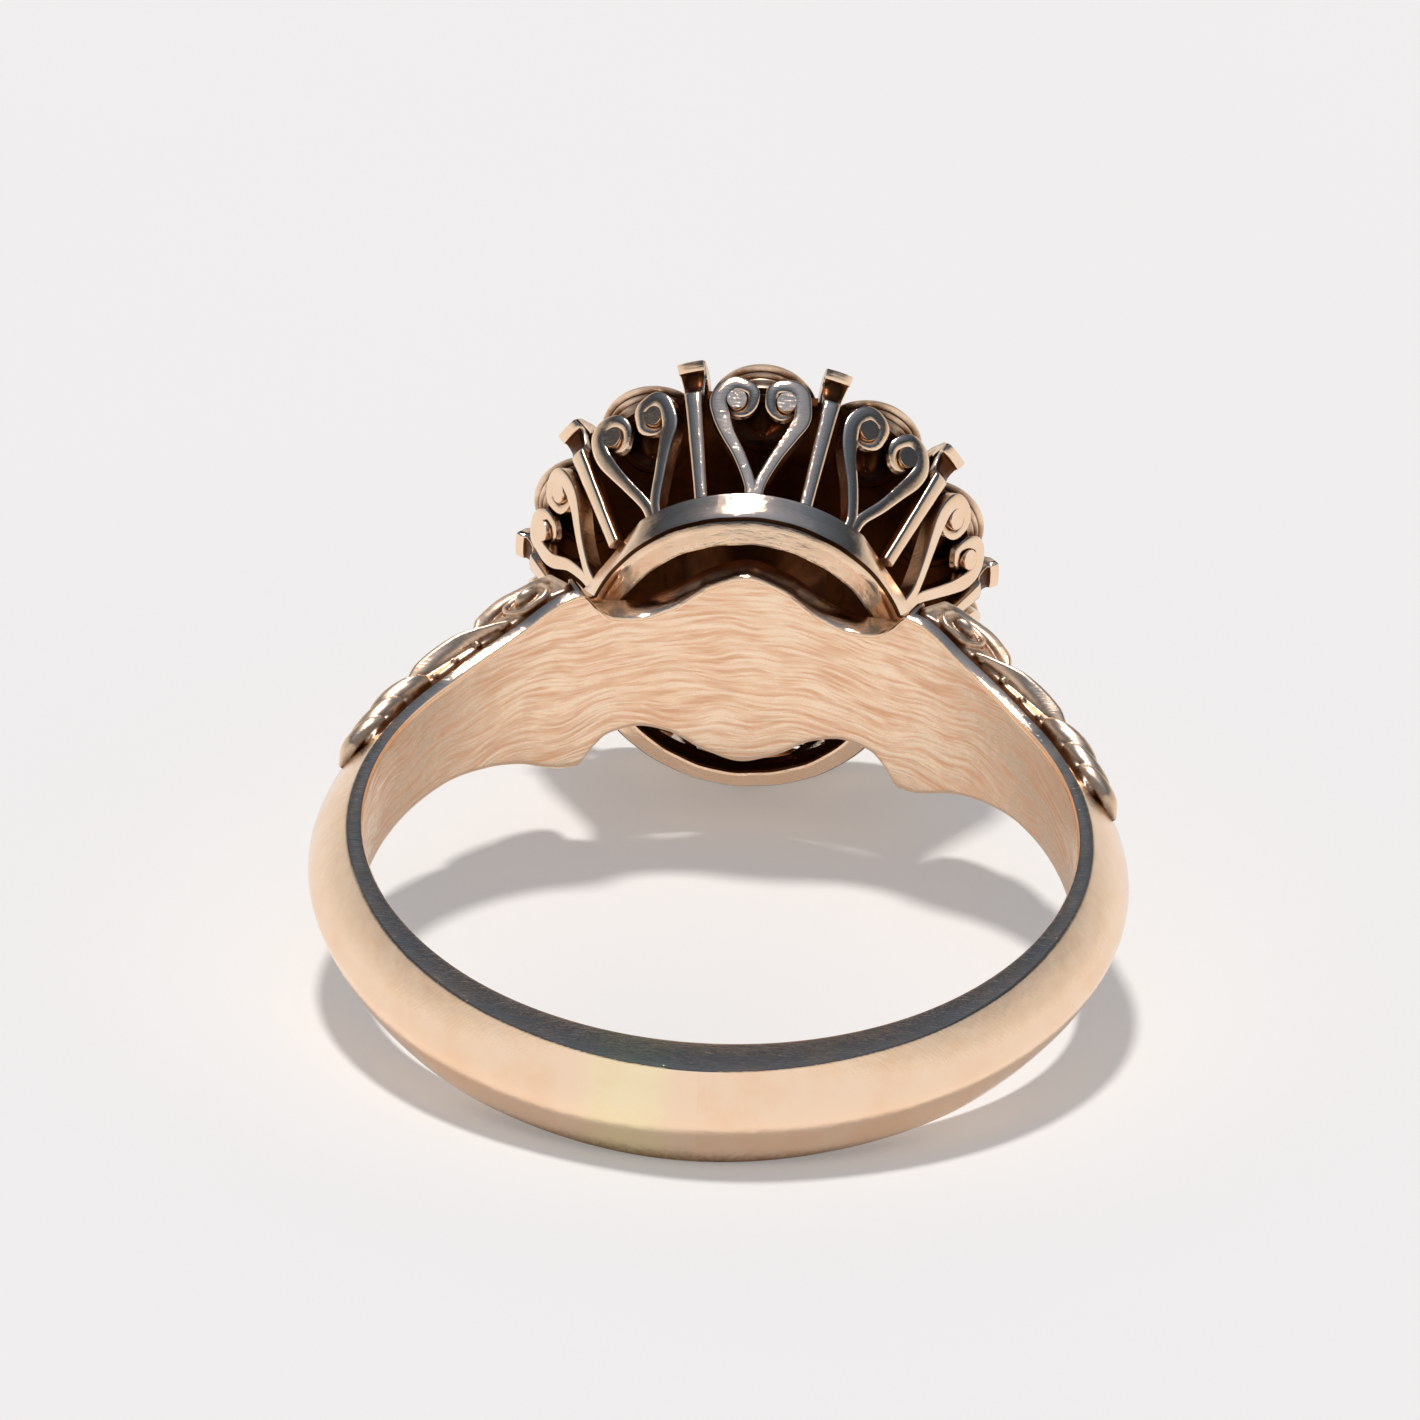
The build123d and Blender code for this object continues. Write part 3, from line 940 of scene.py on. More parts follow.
@dataclass
class CarvedShoulder:
    """Scroll and leaf carving between the bridge and the plain hoop."""

    hoop: Hoop
    side: Side
    start: float = 27.95
    end: float = 73.0
    foot: float = 9.22
    overhang: float = 0.12
    crown: Callable[[float], float] = field(
        default_factory=lambda: smooth_curve(
            [(27, 10.55), (34, 10.55), (43, 10.18), (55, 9.86), (66, 9.78), (74, 9.86)]
        )
    )
    boxiness: Callable[[float], float] = field(
        default_factory=lambda: smooth_curve([(28, 2.7), (45, 2.5), (60, 2.2), (74, 1.9)])
    )
    flank_lean: float = 0.14
    blades: tuple[Blade, ...] = (
        Blade(
            ((28.4, 0.99, 0.0), (28.3, 0.84, 0.06), (29.0, 0.66, 0.12), (32.0, 0.55, 0.14),
             (36.5, 0.57, 0.14), (40.5, 0.68, 0.10), (43.5, 0.82, 0.0)),
            (0.10, 0.17, 0.20, 0.22, 0.20, 0.15, 0.05), 0.20, 0.0,
        ),
        Blade(
            ((38.4, 0.99, 0.02), (42.0, 0.93, 0.10), (47.0, 0.84, 0.14), (52.5, 0.74, 0.12),
             (58.0, 0.62, 0.0)),
            (0.06, 0.13, 0.19, 0.17, 0.05), 0.30, 0.15,
        ),
        Blade(
            ((55.0, 0.97, 0.0), (58.5, 0.88, 0.10), (62.5, 0.72, 0.12), (66.0, 0.52, 0.02)),
            (0.10, 0.24, 0.26, 0.06), 0.28, 0.3,
        ),
        Blade(
            ((61.5, 0.97, 0.0), (64.8, 0.86, 0.09), (68.5, 0.68, 0.10), (71.5, 0.46, 0.02)),
            (0.10, 0.22, 0.25, 0.06), 0.24, 0.4,
        ),
        Blade(
            ((67.0, 0.97, 0.0), (69.5, 0.84, 0.07), (72.0, 0.60, 0.07), (74.5, 0.30, 0.01)),
            (0.10, 0.20, 0.22, 0.05), 0.20, 0.4,
        ),
        Blade(
            ((33.0, 0.12, 0.0), (38.0, 0.26, 0.12), (44.0, 0.42, 0.12), (49.0, 0.54, 0.0)),
            (0.10, 0.32, 0.30, 0.06), 0.28, 0.5,
        ),
        Blade(
            ((46.0, 0.10, 0.0), (51.5, 0.22, 0.10), (57.5, 0.38, 0.10), (62.5, 0.50, 0.0)),
            (0.10, 0.30, 0.26, 0.06), 0.26, 0.5,
        ),
    )
    rib: Blade = Blade(
        ((28.2, 0.0, 0.02), (33.0, 0.0, 0.08), (42.0, 0.0, 0.10), (54.0, 0.0, 0.08), (66.0, 0.0, 0.05),
         (74.6, 0.0, 0.0)),
        (0.30, 0.28, 0.24, 0.20, 0.16, 0.05), 0.26, 0.5,
    )
    ring: tuple[float, float] = (3.4, 0.165)
    ring_band: tuple[float, float] = (0.085, 0.22)
    eye: tuple[float, float, float] = (34.0, 0.845, 0.0)
    eye_size: tuple[float, float, float] = (0.33, 0.17, 0.28)
    glints: tuple[tuple[float, float, float, float], ...] = (
        (39.8, 0.99, 0.02, 0.08), (44.5, 0.985, 0.02, 0.09), (49.0, 0.975, 0.0, 0.08),
        (53.5, 0.97, 0.0, 0.09),
    )
    grain: float = 0.034

    def spot(self, away: float, across: float, lift: float) -> np.ndarray:
        """A point on or above the carved ground.

        Args:
            away: Angle from the head.
            across: 0 on the crown, 1 at the channel, negative below.
            lift: Height above the ground.

        Returns:
            The point in the ring's axes.
        """
        base = self.ground(away, across)
        if not lift:
            return base
        return base + lift * self.outward(away, across)

    def ground(self, away: float, across: float) -> np.ndarray:
        """A point on the ground that the carving stands on.

        Args:
            away: Angle from the head.
            across: 0 on the crown, 1 at the channel, negative below.

        Returns:
            The point in the ring's axes.
        """
        width = self.hoop.half_width(away) - self.overhang * float(1 - smooth_step(away, 68, 74))
        power = 2 / self.boxiness(away)
        turns = np.linspace(0, math.pi / 2, 41)
        rise = (self.crown(away) - self.foot) * np.cos(turns).clip(0) ** power
        reach = width * np.sin(turns) ** power - self.flank_lean * rise * np.sin(turns) ** 2
        along = np.concatenate([[0], np.cumsum(np.hypot(np.diff(rise), np.diff(reach)))])
        place = min(abs(across), 1.0) * along[-1]
        out = float(np.interp(place, along, reach)) * (1 if across >= 0 else -1)
        radius = self.foot + float(np.interp(place, along, rise))
        return about_finger(away * self.side.value, np.array(radius), np.array(out))

    def outward(self, away: float, across: float) -> np.ndarray:
        """The direction that stands straight off the ground.

        Args:
            away: Angle from the head.
            across: Place across the shoulder.

        Returns:
            The unit direction in the ring's axes.
        """
        across = float(np.clip(across, -0.985, 0.985))
        along = self.ground(away + 0.2, across) - self.ground(away - 0.2, across)
        over = self.ground(away, across + 0.01) - self.ground(away, across - 0.01)
        normal = np.cross(along, over)
        normal /= np.linalg.norm(normal)
        return normal if normal @ self.ground(away, 0.0) > 0 else -normal

    def blade(self, blade: Blade, mirror: bool) -> Shell:
        """One leaf or band of the carving.

        Args:
            blade: Its route and section.
            mirror: Whether it lies on the lower half.

        Returns:
            The skin.
        """
        sign = -1 if mirror else 1
        count = 26
        route = spline_path(blade.route, count)
        places = np.linspace(0, 1, len(blade.widths))
        widths = np.interp(np.linspace(0, 1, count), places, blade.widths)
        centres = np.array([self.spot(a, c * sign, lift) for a, c, lift in route])
        ahead = np.gradient(centres, axis=0)
        rings = []
        for i in range(count):
            up = self.outward(route[i, 0], route[i, 1] * sign)
            forward = ahead[i] / np.linalg.norm(ahead[i])
            beside = np.cross(forward, up)
            beside /= np.linalg.norm(beside)
            half = widths[i]
            high = blade.height * min(1.0, half / 0.16)
            round_back = 0.72 * (1 - blade.keel) + 0.34 * blade.keel
            rise = (0.2 + round_back) * high
            side = [(1.0, -0.22), (1.0, 0.04 * high), (0.86, 0.35 * high), (0.45, rise)]
            outline = [(-out * half, up_by) for out, up_by in side] + [(0, high)]
            outline += [(out * half, up_by) for out, up_by in side[::-1]]
            rings.append([centres[i] + beside * b + up * u for b, u in outline])
        return skin(np.array(rings), False)

    def eye_ring(self) -> Blade:
        """The narrow band that runs round the volute's eye.

        Returns:
            The band.
        """
        turns = np.linspace(0, 2 * math.pi, 13)
        reach, rise = self.ring
        middle_angle, middle_across, _ = self.eye
        route = tuple(
            (middle_angle + reach * math.cos(turn), min(middle_across + rise * math.sin(turn), 0.995), 0.03)
            for turn in turns
        )
        half, height = self.ring_band
        return Blade(route, (half,) * len(route), height, 0.0)

    def pebble(
        self, place: tuple[float, float, float], size: tuple[float, float, float], mirror: bool
    ) -> Shell:
        """A domed bead or almond that stands on the ground.

        Args:
            place: Angle, place across and lift of its middle.
            size: Half sizes along the band, across it and upwards.
            mirror: Whether it lies on the lower half.

        Returns:
            The skin.
        """
        away, across, lift = place
        across *= -1 if mirror else 1
        middle = self.spot(away, across, lift)
        up = self.outward(away, across)
        along = self.ground(away + 0.5, across) - self.ground(away - 0.5, across)
        along -= up * (along @ up)
        along /= np.linalg.norm(along)
        beside = np.cross(up, along)
        outline = [(math.sin(t), -math.cos(t)) for t in np.linspace(0, math.pi, 12)]
        button = domed_button(outline, 20, (0, 0))
        local = np.asarray(button.points)
        points = middle + np.outer(local[:, 0] * size[0], along) + np.outer(local[:, 2] * size[1], beside)
        points = points + np.outer(local[:, 1] * size[2], up)
        return Shell(points, button.faces)

    def body(self) -> Shell:
        """The ground itself, as a closed block down to the hoop.

        Returns:
            The skin.
        """
        rings = []
        for away in np.linspace(self.start, self.end, 60):
            sink = 0.25 * float(smooth_step(away, 69, 73))
            top = [self.spot(away, across, -sink) for across in np.linspace(-1, 1, 33)]
            floor = self.hoop.half_width(away) - self.overhang - 0.3
            low = about_finger(away * self.side.value, np.full(5, 8.95), np.linspace(floor, -floor, 5))
            rings.append(np.vstack([top, low]))
        return skin(np.array(rings), False)

    def build(self, bench: Workbench) -> bpy.types.Object:
        """Makes the shoulder.

        Args:
            bench: The workbench.

        Returns:
            The piece.
        """
        shells = [self.body(), self.blade(self.rib, False)]
        for mirror in (False, True):
            shells += [self.blade(blade, mirror) for blade in self.blades]
            shells.append(self.pebble(self.eye, self.eye_size, mirror))
            shells.append(self.blade(self.eye_ring(), mirror))
            shells += [self.pebble(glint[:3], (glint[3],) * 3, mirror) for glint in self.glints]
        mesh = bench.fused(bench.blank("carving", shells), self.grain, 2)
        name = f"shoulder_{self.side.name.lower()}"
        return bench.piece(name, mesh, [CARVED_ROSE], Slot.ROSE, ["shank"], 60)


# ---- gallery -------------------------------------------------------------------------------
@dataclass
class GalleryFace:
    """The flat, outward-leaning face that one heart or claw lies on."""

    angle: float
    foot_radius: float = 4.23
    foot_height: float = 10.2
    lean: float = 28.0

    def place(self, flat: np.ndarray) -> np.ndarray:
        """Lays flat points down on the face.

        Args:
            flat: Rows of (sideways, climb, outward).

        Returns:
            The points in the ring's axes.
        """
        turn, lean = math.radians(self.angle), math.radians(self.lean)
        out = np.array([math.sin(turn), 0.0, math.cos(turn)])
        up = np.array([0.0, 1.0, 0.0])
        sideways = np.array([math.cos(turn), 0.0, -math.sin(turn)])
        climb = out * math.sin(lean) + up * math.cos(lean)
        proud = out * math.cos(lean) - up * math.sin(lean)
        foot = out * self.foot_radius + up * self.foot_height
        flat = np.asarray(flat, float)
        return foot + flat[..., :1] * sideways + flat[..., 1:2] * climb + flat[..., 2:] * proud


@dataclass
class HeartScroll:
    """Two straps that part from one foot and roll over into the lobes of a heart."""

    number: int
    route: tuple[tuple[float, float], ...] = (
        (0.05, -0.45), (0.07, 0.0), (0.15, 0.42), (0.46, 1.10), (0.80, 1.75), (1.00, 2.24), (1.05, 2.62),
        (0.97, 2.92), (0.77, 3.10), (0.52, 3.12), (0.29, 2.97), (0.20, 2.74), (0.26, 2.50), (0.44, 2.36),
        (0.66, 2.38), (0.80, 2.50),
    )
    widths: tuple[tuple[float, float], ...] = (
        (0.0, 0.28), (0.10, 0.28), (0.30, 0.30), (0.42, 0.35), (0.52, 0.42), (0.64, 0.42), (0.76, 0.34),
        (0.88, 0.26), (0.94, 0.20), (1.0, 0.12),
    )
    depth: float = 0.42
    edge: float = 0.022
    steps: int = 64
    eye: tuple[float, float] = (0.625, 2.70)
    eye_radius: float = 0.27

    def strap(self, face: GalleryFace, sign: int, sway: np.ndarray) -> Shell:
        """One strap.

        Args:
            face: The face that it lies on.
            sign: 1 for the strap on the +sideways side, -1 for the other.
            sway: Small hand-made differences in its route.

        Returns:
            The skin.
        """
        corners = np.array(self.route)
        corners[3:] = corners[3:] + sway[: len(corners) - 3] * 0.02
        path = spline_path(corners, self.steps)
        width = smooth_curve(self.widths)
        ahead = np.gradient(path, axis=0)
        ahead /= np.linalg.norm(ahead, axis=1)[:, None]
        beside = np.stack([ahead[:, 1], -ahead[:, 0]], axis=1)
        rings = []
        for i in range(self.steps):
            share = i / (self.steps - 1)
            half = width(share) / 2
            lobe = float(smooth_step(share, 0.46, 0.66) * (1 - smooth_step(share, 0.86, 0.98)))
            crown = 0.010 + 0.02 * lobe
            sink = 0.010 + 0.20 * float(smooth_step(share, 0.76, 1.0))
            inner = half - self.edge
            outline = [(half, -sink - self.edge)]
            for place in (1.0, 0.75, 0.4, 0.0, -0.4, -0.75, -1.0):
                outline.append((inner * place, -sink + crown * (1 - abs(place) ** 2.2)))
            deep = -self.depth + 0.12 * lobe
            outline += [
                (-half, -sink - self.edge), (-half, deep + self.edge), (-inner, deep), (inner, deep),
                (half, deep + self.edge),
            ]
            ring = []
            for offset, proud in outline:
                spot = path[i] + beside[i] * offset
                bow = 0.035 * spot[0] ** 2
                ring.append((spot[0] * sign, max(spot[1], -0.35), proud - bow))
            rings.append(ring)
        return skin(face.place(np.array(rings)), False)

    def lobe_eye(self, face: GalleryFace, sign: int, sway: float) -> Shell:
        """The flat-topped disc that a strap rolls round.

        Args:
            face: The face that it lies on.
            sign: 1 for the +sideways side, -1 for the other.
            sway: Small hand-made difference in its size.

        Returns:
            The skin.
        """
        outline = [(0.0, -1.0), (0.96, -1.0), (1.0, -0.3), (1.0, -0.10), (0.93, 0.0), (0.5, 0.0), (0.0, 0.0)]
        button = domed_button(outline, 28, (0, 0))
        local = np.asarray(button.points)
        radius = self.eye_radius * (1 + 0.03 * sway)
        across, climb = local[:, 0] * radius, local[:, 2] * radius * 1.08
        proud = local[:, 1] * 0.34 - 0.025
        middle = np.array([self.eye[0] * sign, self.eye[1] + 0.01 * sway, 0.0])
        flat = middle + np.stack([across * sign, climb, proud], axis=1)
        return Shell(face.place(flat), button.faces)

    def build(self, bench: Workbench) -> bpy.types.Object:
        """Makes the heart.

        Args:
            bench: The workbench.

        Returns:
            The piece.
        """
        face = GalleryFace((self.number - 1) * MOTIF_ANGLE)
        chance = np.random.default_rng(SEED + self.number)
        shells = []
        for sign in (1, -1):
            shells.append(self.strap(face, sign, chance.normal(0, 1, (16, 2))))
            shells.append(self.lobe_eye(face, sign, float(chance.normal(0, 1))))
        mesh = bench.blank("heart", shells)
        name = f"heart_{self.number:02d}"
        return bench.piece(name, mesh, [POLISHED_ROSE], Slot.ROSE, [f"heart_scroll_{self.number:02d}"], 38)


@dataclass
class ClawBar:
    """A straight claw that widens to a flared tab and turns in over two stones."""

    number: int
    foot_radius: float = 4.28
    foot_height: float = 10.17
    lean: float = 28.0
    depth: float = 0.42
    climb: tuple[tuple[float, float, float], ...] = (
        (0.0, 0.165, 0.0), (0.5, 0.168, 0.0), (1.2, 0.18, 0.0), (2.0, 0.195, 0.0), (2.6, 0.21, 0.0),
        (2.92, 0.222, 0.0), (3.00, 0.23, 0.015), (3.06, 0.24, 0.09), (3.24, 0.265, 0.17),
        (3.45, 0.30, 0.19), (3.60, 0.325, 0.17),
        (3.63, 0.333, 0.11), (3.70, 0.342, 0.06), (3.85, 0.345, 0.0),
    )
    # Rows whose front faces are painted near-black as the shade under the tab's lip.
    hollow: tuple[int, int] = (6, 10)
    tip: tuple[tuple[float, float, float, float, float], ...] = (
        (6.02, 13.70, 5.52, 13.56, 0.335), (5.90, 13.86, 5.48, 13.675, 0.32),
        (5.50, 14.01, 5.42, 13.68, 0.29),
        (5.20, 14.00, 5.18, 13.68, 0.25), (4.90, 13.95, 4.90, 13.68, 0.19), (4.68, 13.88, 4.69, 13.69, 0.12),
        (4.56, 13.80, 4.57, 13.71, 0.05),
    )

    def stations(self) -> list[tuple[np.ndarray, np.ndarray, float]]:
        """The sections up the claw.

        Returns:
            Outer point, inner point and half width of each.
        """
        turn = math.radians(self.lean)
        climb = np.array([math.sin(turn), math.cos(turn)])
        proud = np.array([math.cos(turn), -math.sin(turn)])
        foot = np.array([self.foot_radius, self.foot_height])
        made = []
        for height, half, sink in self.climb:
            outer = foot + climb * height - proud * sink
            made.append((outer, foot + climb * height - proud * self.depth, half))
        for outer_r, outer_v, inner_r, inner_v, half in self.tip:
            made.append((np.array([outer_r, outer_v]), np.array([inner_r, inner_v]), half))
        return made

    def build(self, bench: Workbench) -> bpy.types.Object:
        """Makes the claw.

        Args:
            bench: The workbench.

        Returns:
            The piece.
        """
        chance = np.random.default_rng(SEED * 3 + self.number)
        angle = math.radians((self.number - 0.5) * MOTIF_ANGLE + chance.normal(0, 0.25))
        out = np.array([math.sin(angle), 0.0, math.cos(angle)])
        sideways = np.array([math.cos(angle), 0.0, -math.sin(angle)])
        edge = 0.04
        rings = []
        for outer, inner, half in self.stations():
            across = inner - outer
            across /= np.linalg.norm(across)
            back = half * 0.86
            soft = min(edge, half * 0.4)
            outline = [
                (outer + across * soft, half), (outer + across * 0.25 * soft, half - 0.6 * soft),
                (outer - across * 0.008, 0.4 * half), (outer - across * 0.008, -0.4 * half),
                (outer + across * 0.25 * soft, -half + 0.6 * soft), (outer + across * soft, -half),
                (inner - across * soft, -back), (inner, -back + soft), (inner, back - soft),
                (inner - across * soft, back),
            ]
            rings.append([out * p[0] + np.array([0, p[1], 0]) + sideways * s for p, s in outline])
        # Painted shade: the front faces of these rows take the near-black second finish.
        low, high = self.hollow
        shell = skin(
            np.array(rings), False, None, lambda row, column: low <= row <= high and 1 <= column <= 3
        )
        mesh = bench.blank("claw", [shell])
        name = f"claw_bar_{self.number:02d}"
        finishes = [POLISHED_ROSE, SHADE_ROSE]
        return bench.piece(name, mesh, finishes, Slot.ROSE, [f"claw_{self.number:02d}"], 50)


@dataclass
class Collar:
    """The base ring of the head, with two saddle feet on the bridge and two filed flats."""

    foot_radius: float = 3.96
    lip_radius: float = 4.29
    wall: float = 0.56
    bottom: float = 9.10
    top: float = 10.20
    bridge: float = 9.5
    flat_angle: float = 58.0
    flat_reach: float = 4.08
    swells: tuple[tuple[float, float], ...] = (
        (0.15, -0.16), (0.18, -0.10), (0.25, -0.03), (0.34, 0.015), (0.5, 0.04), (0.75, 0.04), (0.95, 0.01),
    )
    steps: int = 240

    def underside(self, angle: float, radius: float) -> float:
        """Height of the collar's underside, lower where it saddles the bridge.

        Args:
            angle: Degrees from the finger axis.
            radius: Distance from the head's axis.

        Returns:
            The height.
        """
        turn = math.radians(angle)
        reach = min(abs(radius * math.sin(turn)), self.bridge - 0.01)
        saddle = math.sqrt(self.bridge**2 - reach**2) - 0.03
        off = abs(abs((angle + 180) % 360 - 180) - 90)
        share = float(1 - smooth_step(off, 9.0, 19.0))
        ripple = 0.015 * math.sin(math.radians(angle * 9)) + 0.012 * math.sin(math.radians(angle * 23 + 40))
        return (self.bottom + ripple) * (1 - share) + min(saddle, self.bottom) * share

    def section(self, angle: float) -> np.ndarray:
        """The collar's section at an angle round the head.

        Args:
            angle: Degrees from the finger axis.

        Returns:
            The section's points in the ring's axes.
        """
        turn = abs((angle + 180) % 360 - 180)
        flat = self.flat_reach / max(math.cos(math.radians(turn - self.flat_angle)), 0.5)
        flat = flat if abs(turn - self.flat_angle) < 20 else 99.0
        slope = (self.lip_radius - self.foot_radius) / (self.top - self.bottom)
        bore = self.foot_radius - self.wall
        outline = []
        for height, swell in self.swells:
            radius = self.foot_radius + slope * height + swell
            low = self.underside(angle, radius)
            outline.append((min(radius, flat), low + (self.top - low) * height / (self.top - self.bottom)))
        outline.append((min(self.lip_radius - 0.005, flat), self.top - 0.05))
        outline.append((min(self.lip_radius - 0.05, flat - 0.03), self.top))
        outline += [(bore + 0.36, self.top), (bore + 0.30, self.top - 0.06)]
        low = self.underside(angle, bore)
        outline += [(bore + 0.04, low + 0.10), (bore + 0.06, low + 0.02), (bore + 0.12, low)]
        points = np.array(outline)
        return about_head(angle, points[:, 0], points[:, 1])

    def build(self, bench: Workbench) -> bpy.types.Object:
        """Makes the collar.

        Args:
            bench: The workbench.

        Returns:
            The piece.
        """
        rings = np.stack([self.section(360 * i / self.steps) for i in range(self.steps)])
        columns = rings.shape[1]
        strips = [0] * columns
        strips[-1] = 1
        strips[-2] = 1
        # Painted dark: strip 2, low on the outer face, as a dark reflection line; strips 9 and 10, the inner
        # bevel and wall, as shade.
        for painted_dark in (2, 9, 10):
            strips[painted_dark] = 2
        mesh = bench.blank("collar", [skin(rings, True, strips)])
        finishes = [POLISHED_ROSE, FILED_ROSE, SHADE_ROSE]
        return bench.piece("collar_ring", mesh, finishes, Slot.ROSE, ["collar"], 30)


# ---- settings and stones -------------------------------------------------------------------
@dataclass
class Setting:
    """An old-cut stone in its collet.

    Attributes:
        name: The collet's node.
        stone_name: The stone's node.
        centre: Where its axis stands, as (x, w).
        turn: Which way its facets face, in degrees.
        foot: Radius of the collet's foot.
        rim: Radius of the collet's rim.
        top: Height of the rim.
        stone: Radius of the stone.
        base: Height of the gallery plate's top.
        table: Width of the table, as a share of the stone's.
        crown: Height of the crown, as a share of the stone's width.
        girdle: Thickness of the girdle, as a share of the stone's width.
        pavilion: Depth of the pavilion, as a share of the stone's width.
        culet: Width of the culet, as a share of the stone's.
        lip: How far the rim stands over the seat.
        ledge: How far the hollow under the stone stands in from the foot.
    """

    name: str
    stone_name: str
    centre: tuple[float, float]
    turn: float
    foot: float
    rim: float
    top: float
    stone: float
    base: float
    table: float = 0.53
    crown: float = 0.165
    girdle: float = 0.025
    pavilion: float = 0.43
    culet: float = 0.06
    lip: float = 0.07
    ledge: float = 0.15

    def collet(self, bench: Workbench) -> bpy.types.Object:
        """Makes the collet.

        Args:
            bench: The workbench.

        Returns:
            The piece.
        """
        tall, flare = self.top - self.base, self.rim - self.foot
        outside = [
            (-0.01, 0.0), (0.0, 0.06), (0.16, 0.22), (0.32, 0.28), (0.36, 0.35), (0.20, 0.41), (0.20, 0.46),
            (0.54, 0.52), (0.64, 0.59), (0.48, 0.65), (0.48, 0.70), (0.90, 0.75), (1.0, 0.80), (1.0, 0.88),
            (0.95, 0.95), (0.86, 0.99),
        ]
        outline = [(self.foot + flare * out, self.base + tall * up) for out, up in outside]
        girdle_low = self.top - self.lip - self.girdle * 2 * self.stone
        seat = self.stone + 0.012
        slope = self.pavilion * 2 / (1 - self.culet)
        inset = self.stone / 6
        outline += [
            (self.stone + 0.03, self.top), (self.stone - 0.05, self.top - 0.008),
            (self.stone - 0.085, self.top - 0.03), (seat, self.top - self.lip), (seat, girdle_low),
            (seat - inset, girdle_low - inset * slope), (self.foot - 0.15, self.base),
        ]
        # The sheet behind the stone is painted near-black outside as shade.
        skins = [turned(outline, 72, self.centre), self.shade_cone()]
        mesh = bench.blank("collet", skins)
        finish = CARVED_ROSE if self.stone < 2 else POLISHED_ROSE
        return bench.piece(f"{self.name}_cup", mesh, [finish, SHADE_ROSE], Slot.ROSE, [self.name], 40)

    def shade_cone(self) -> Shell:
        """The thin conical sheet that closes the back of the stone, clear of it: painted near-black outside
        as shade so that the pavilion reads dark, bright gold inside.

        Returns:
            The skin.
        """
        girdle_low = self.top - self.lip - self.girdle * 2 * self.stone
        tip = girdle_low - self.pavilion * 2 * self.stone
        under = self.base - 0.12
        clear = self.stone * (under - tip) / (girdle_low - tip) + 0.08
        flange = self.foot - self.ledge + 0.04
        outline = [
            (flange, under), (flange, under - 0.05), (clear + 0.05, under - 0.06), (0.14, tip - 0.10),
            (0.02, tip - 0.10), (0.02, tip - 0.05), (0.10, tip - 0.05), (clear, under),
        ]
        steps = 48
        made = turned(outline, steps, self.centre)
        # Outer faces take the near-black painted shade; inner faces take the collet's own finish.
        return Shell(made.points, made.faces, ([PATCH] * 5 + [0] * 3) * steps)

    def facets(self) -> Shell:
        """The stone's facets: table, stars, kites, halves, girdle, mains and culet.

        Returns:
            The skin.
        """
        radius = self.stone
        low = self.top - self.lip - self.girdle * 2 * radius
        high = self.top - self.lip
        table_up = high + self.crown * 2 * radius
        culet_down = low - self.pavilion * 2 * radius
        table_reach, star_reach, main_reach = self.table * radius, 0.79 * radius, 0.50 * radius
        step = math.cos(math.radians(22.5))
        star_up = high + (table_up - high) * (radius - star_reach * step) / (radius - table_reach)
        culet_reach = self.culet * radius
        main_down = low - (low - culet_down) * (radius - main_reach * step) / (radius - culet_reach * step)

        def ring(reach: float, level: float, count: int, shift: float) -> list[np.ndarray]:
            """Corners round the stone's axis.

            Args:
                reach: Distance from the axis.
                level: Height.
                count: How many corners.
                shift: Degrees that the first one is turned by.

            Returns:
                The corners.
            """
            x, w = self.centre
            turns = [math.radians(self.turn + shift + 360 * i / count) for i in range(count)]
            return [np.array([x + reach * math.sin(t), level, w + reach * math.cos(t)]) for t in turns]

        table = ring(table_reach, table_up, 8, 0)
        stars = ring(star_reach, star_up, 8, 22.5)
        upper = ring(radius, high, 16, 0)
        lower = ring(radius, low, 16, 0)
        mains = ring(main_reach, main_down, 8, 22.5)
        culet = ring(culet_reach, culet_down, 8, 22.5)
        points = table + stars + upper + lower + mains + culet
        t, s, u, l, m, c = 0, 8, 16, 32, 48, 56
        faces: list[tuple[int, ...]] = [tuple(range(8)), tuple(range(c, c + 8))[::-1]]
        for i in range(8):
            n, b = (i + 1) % 8, (i - 1) % 8
            g, h, k = 2 * i, 2 * i + 1, (2 * i + 2) % 16
            faces += [
                (t + i, s + i, t + n), (t + i, s + b, u + g, s + i), (s + i, u + g, u + h),
                (s + i, u + h, u + k), (u + g, l + g, l + h, u + h), (u + h, l + h, l + k, u + k),
                (l + g, m + i, l + h),
                (l + h, m + i, l + k), (l + g, m + b, c + b, c + i, m + i),
            ]
        return Shell(np.array(points), faces)

    def stone_piece(self, bench: Workbench) -> bpy.types.Object:
        """Makes the stone."""
        mesh = bench.blank("stone", [self.facets()])
        return bench.piece(f"{self.stone_name}_cut", mesh, [OLD_DIAMOND], Slot.STONE, [self.stone_name], 0)

    def build(self, bench: Workbench) -> None:
        """Makes the collet and its stone."""
        self.collet(bench)
        self.stone_piece(bench)


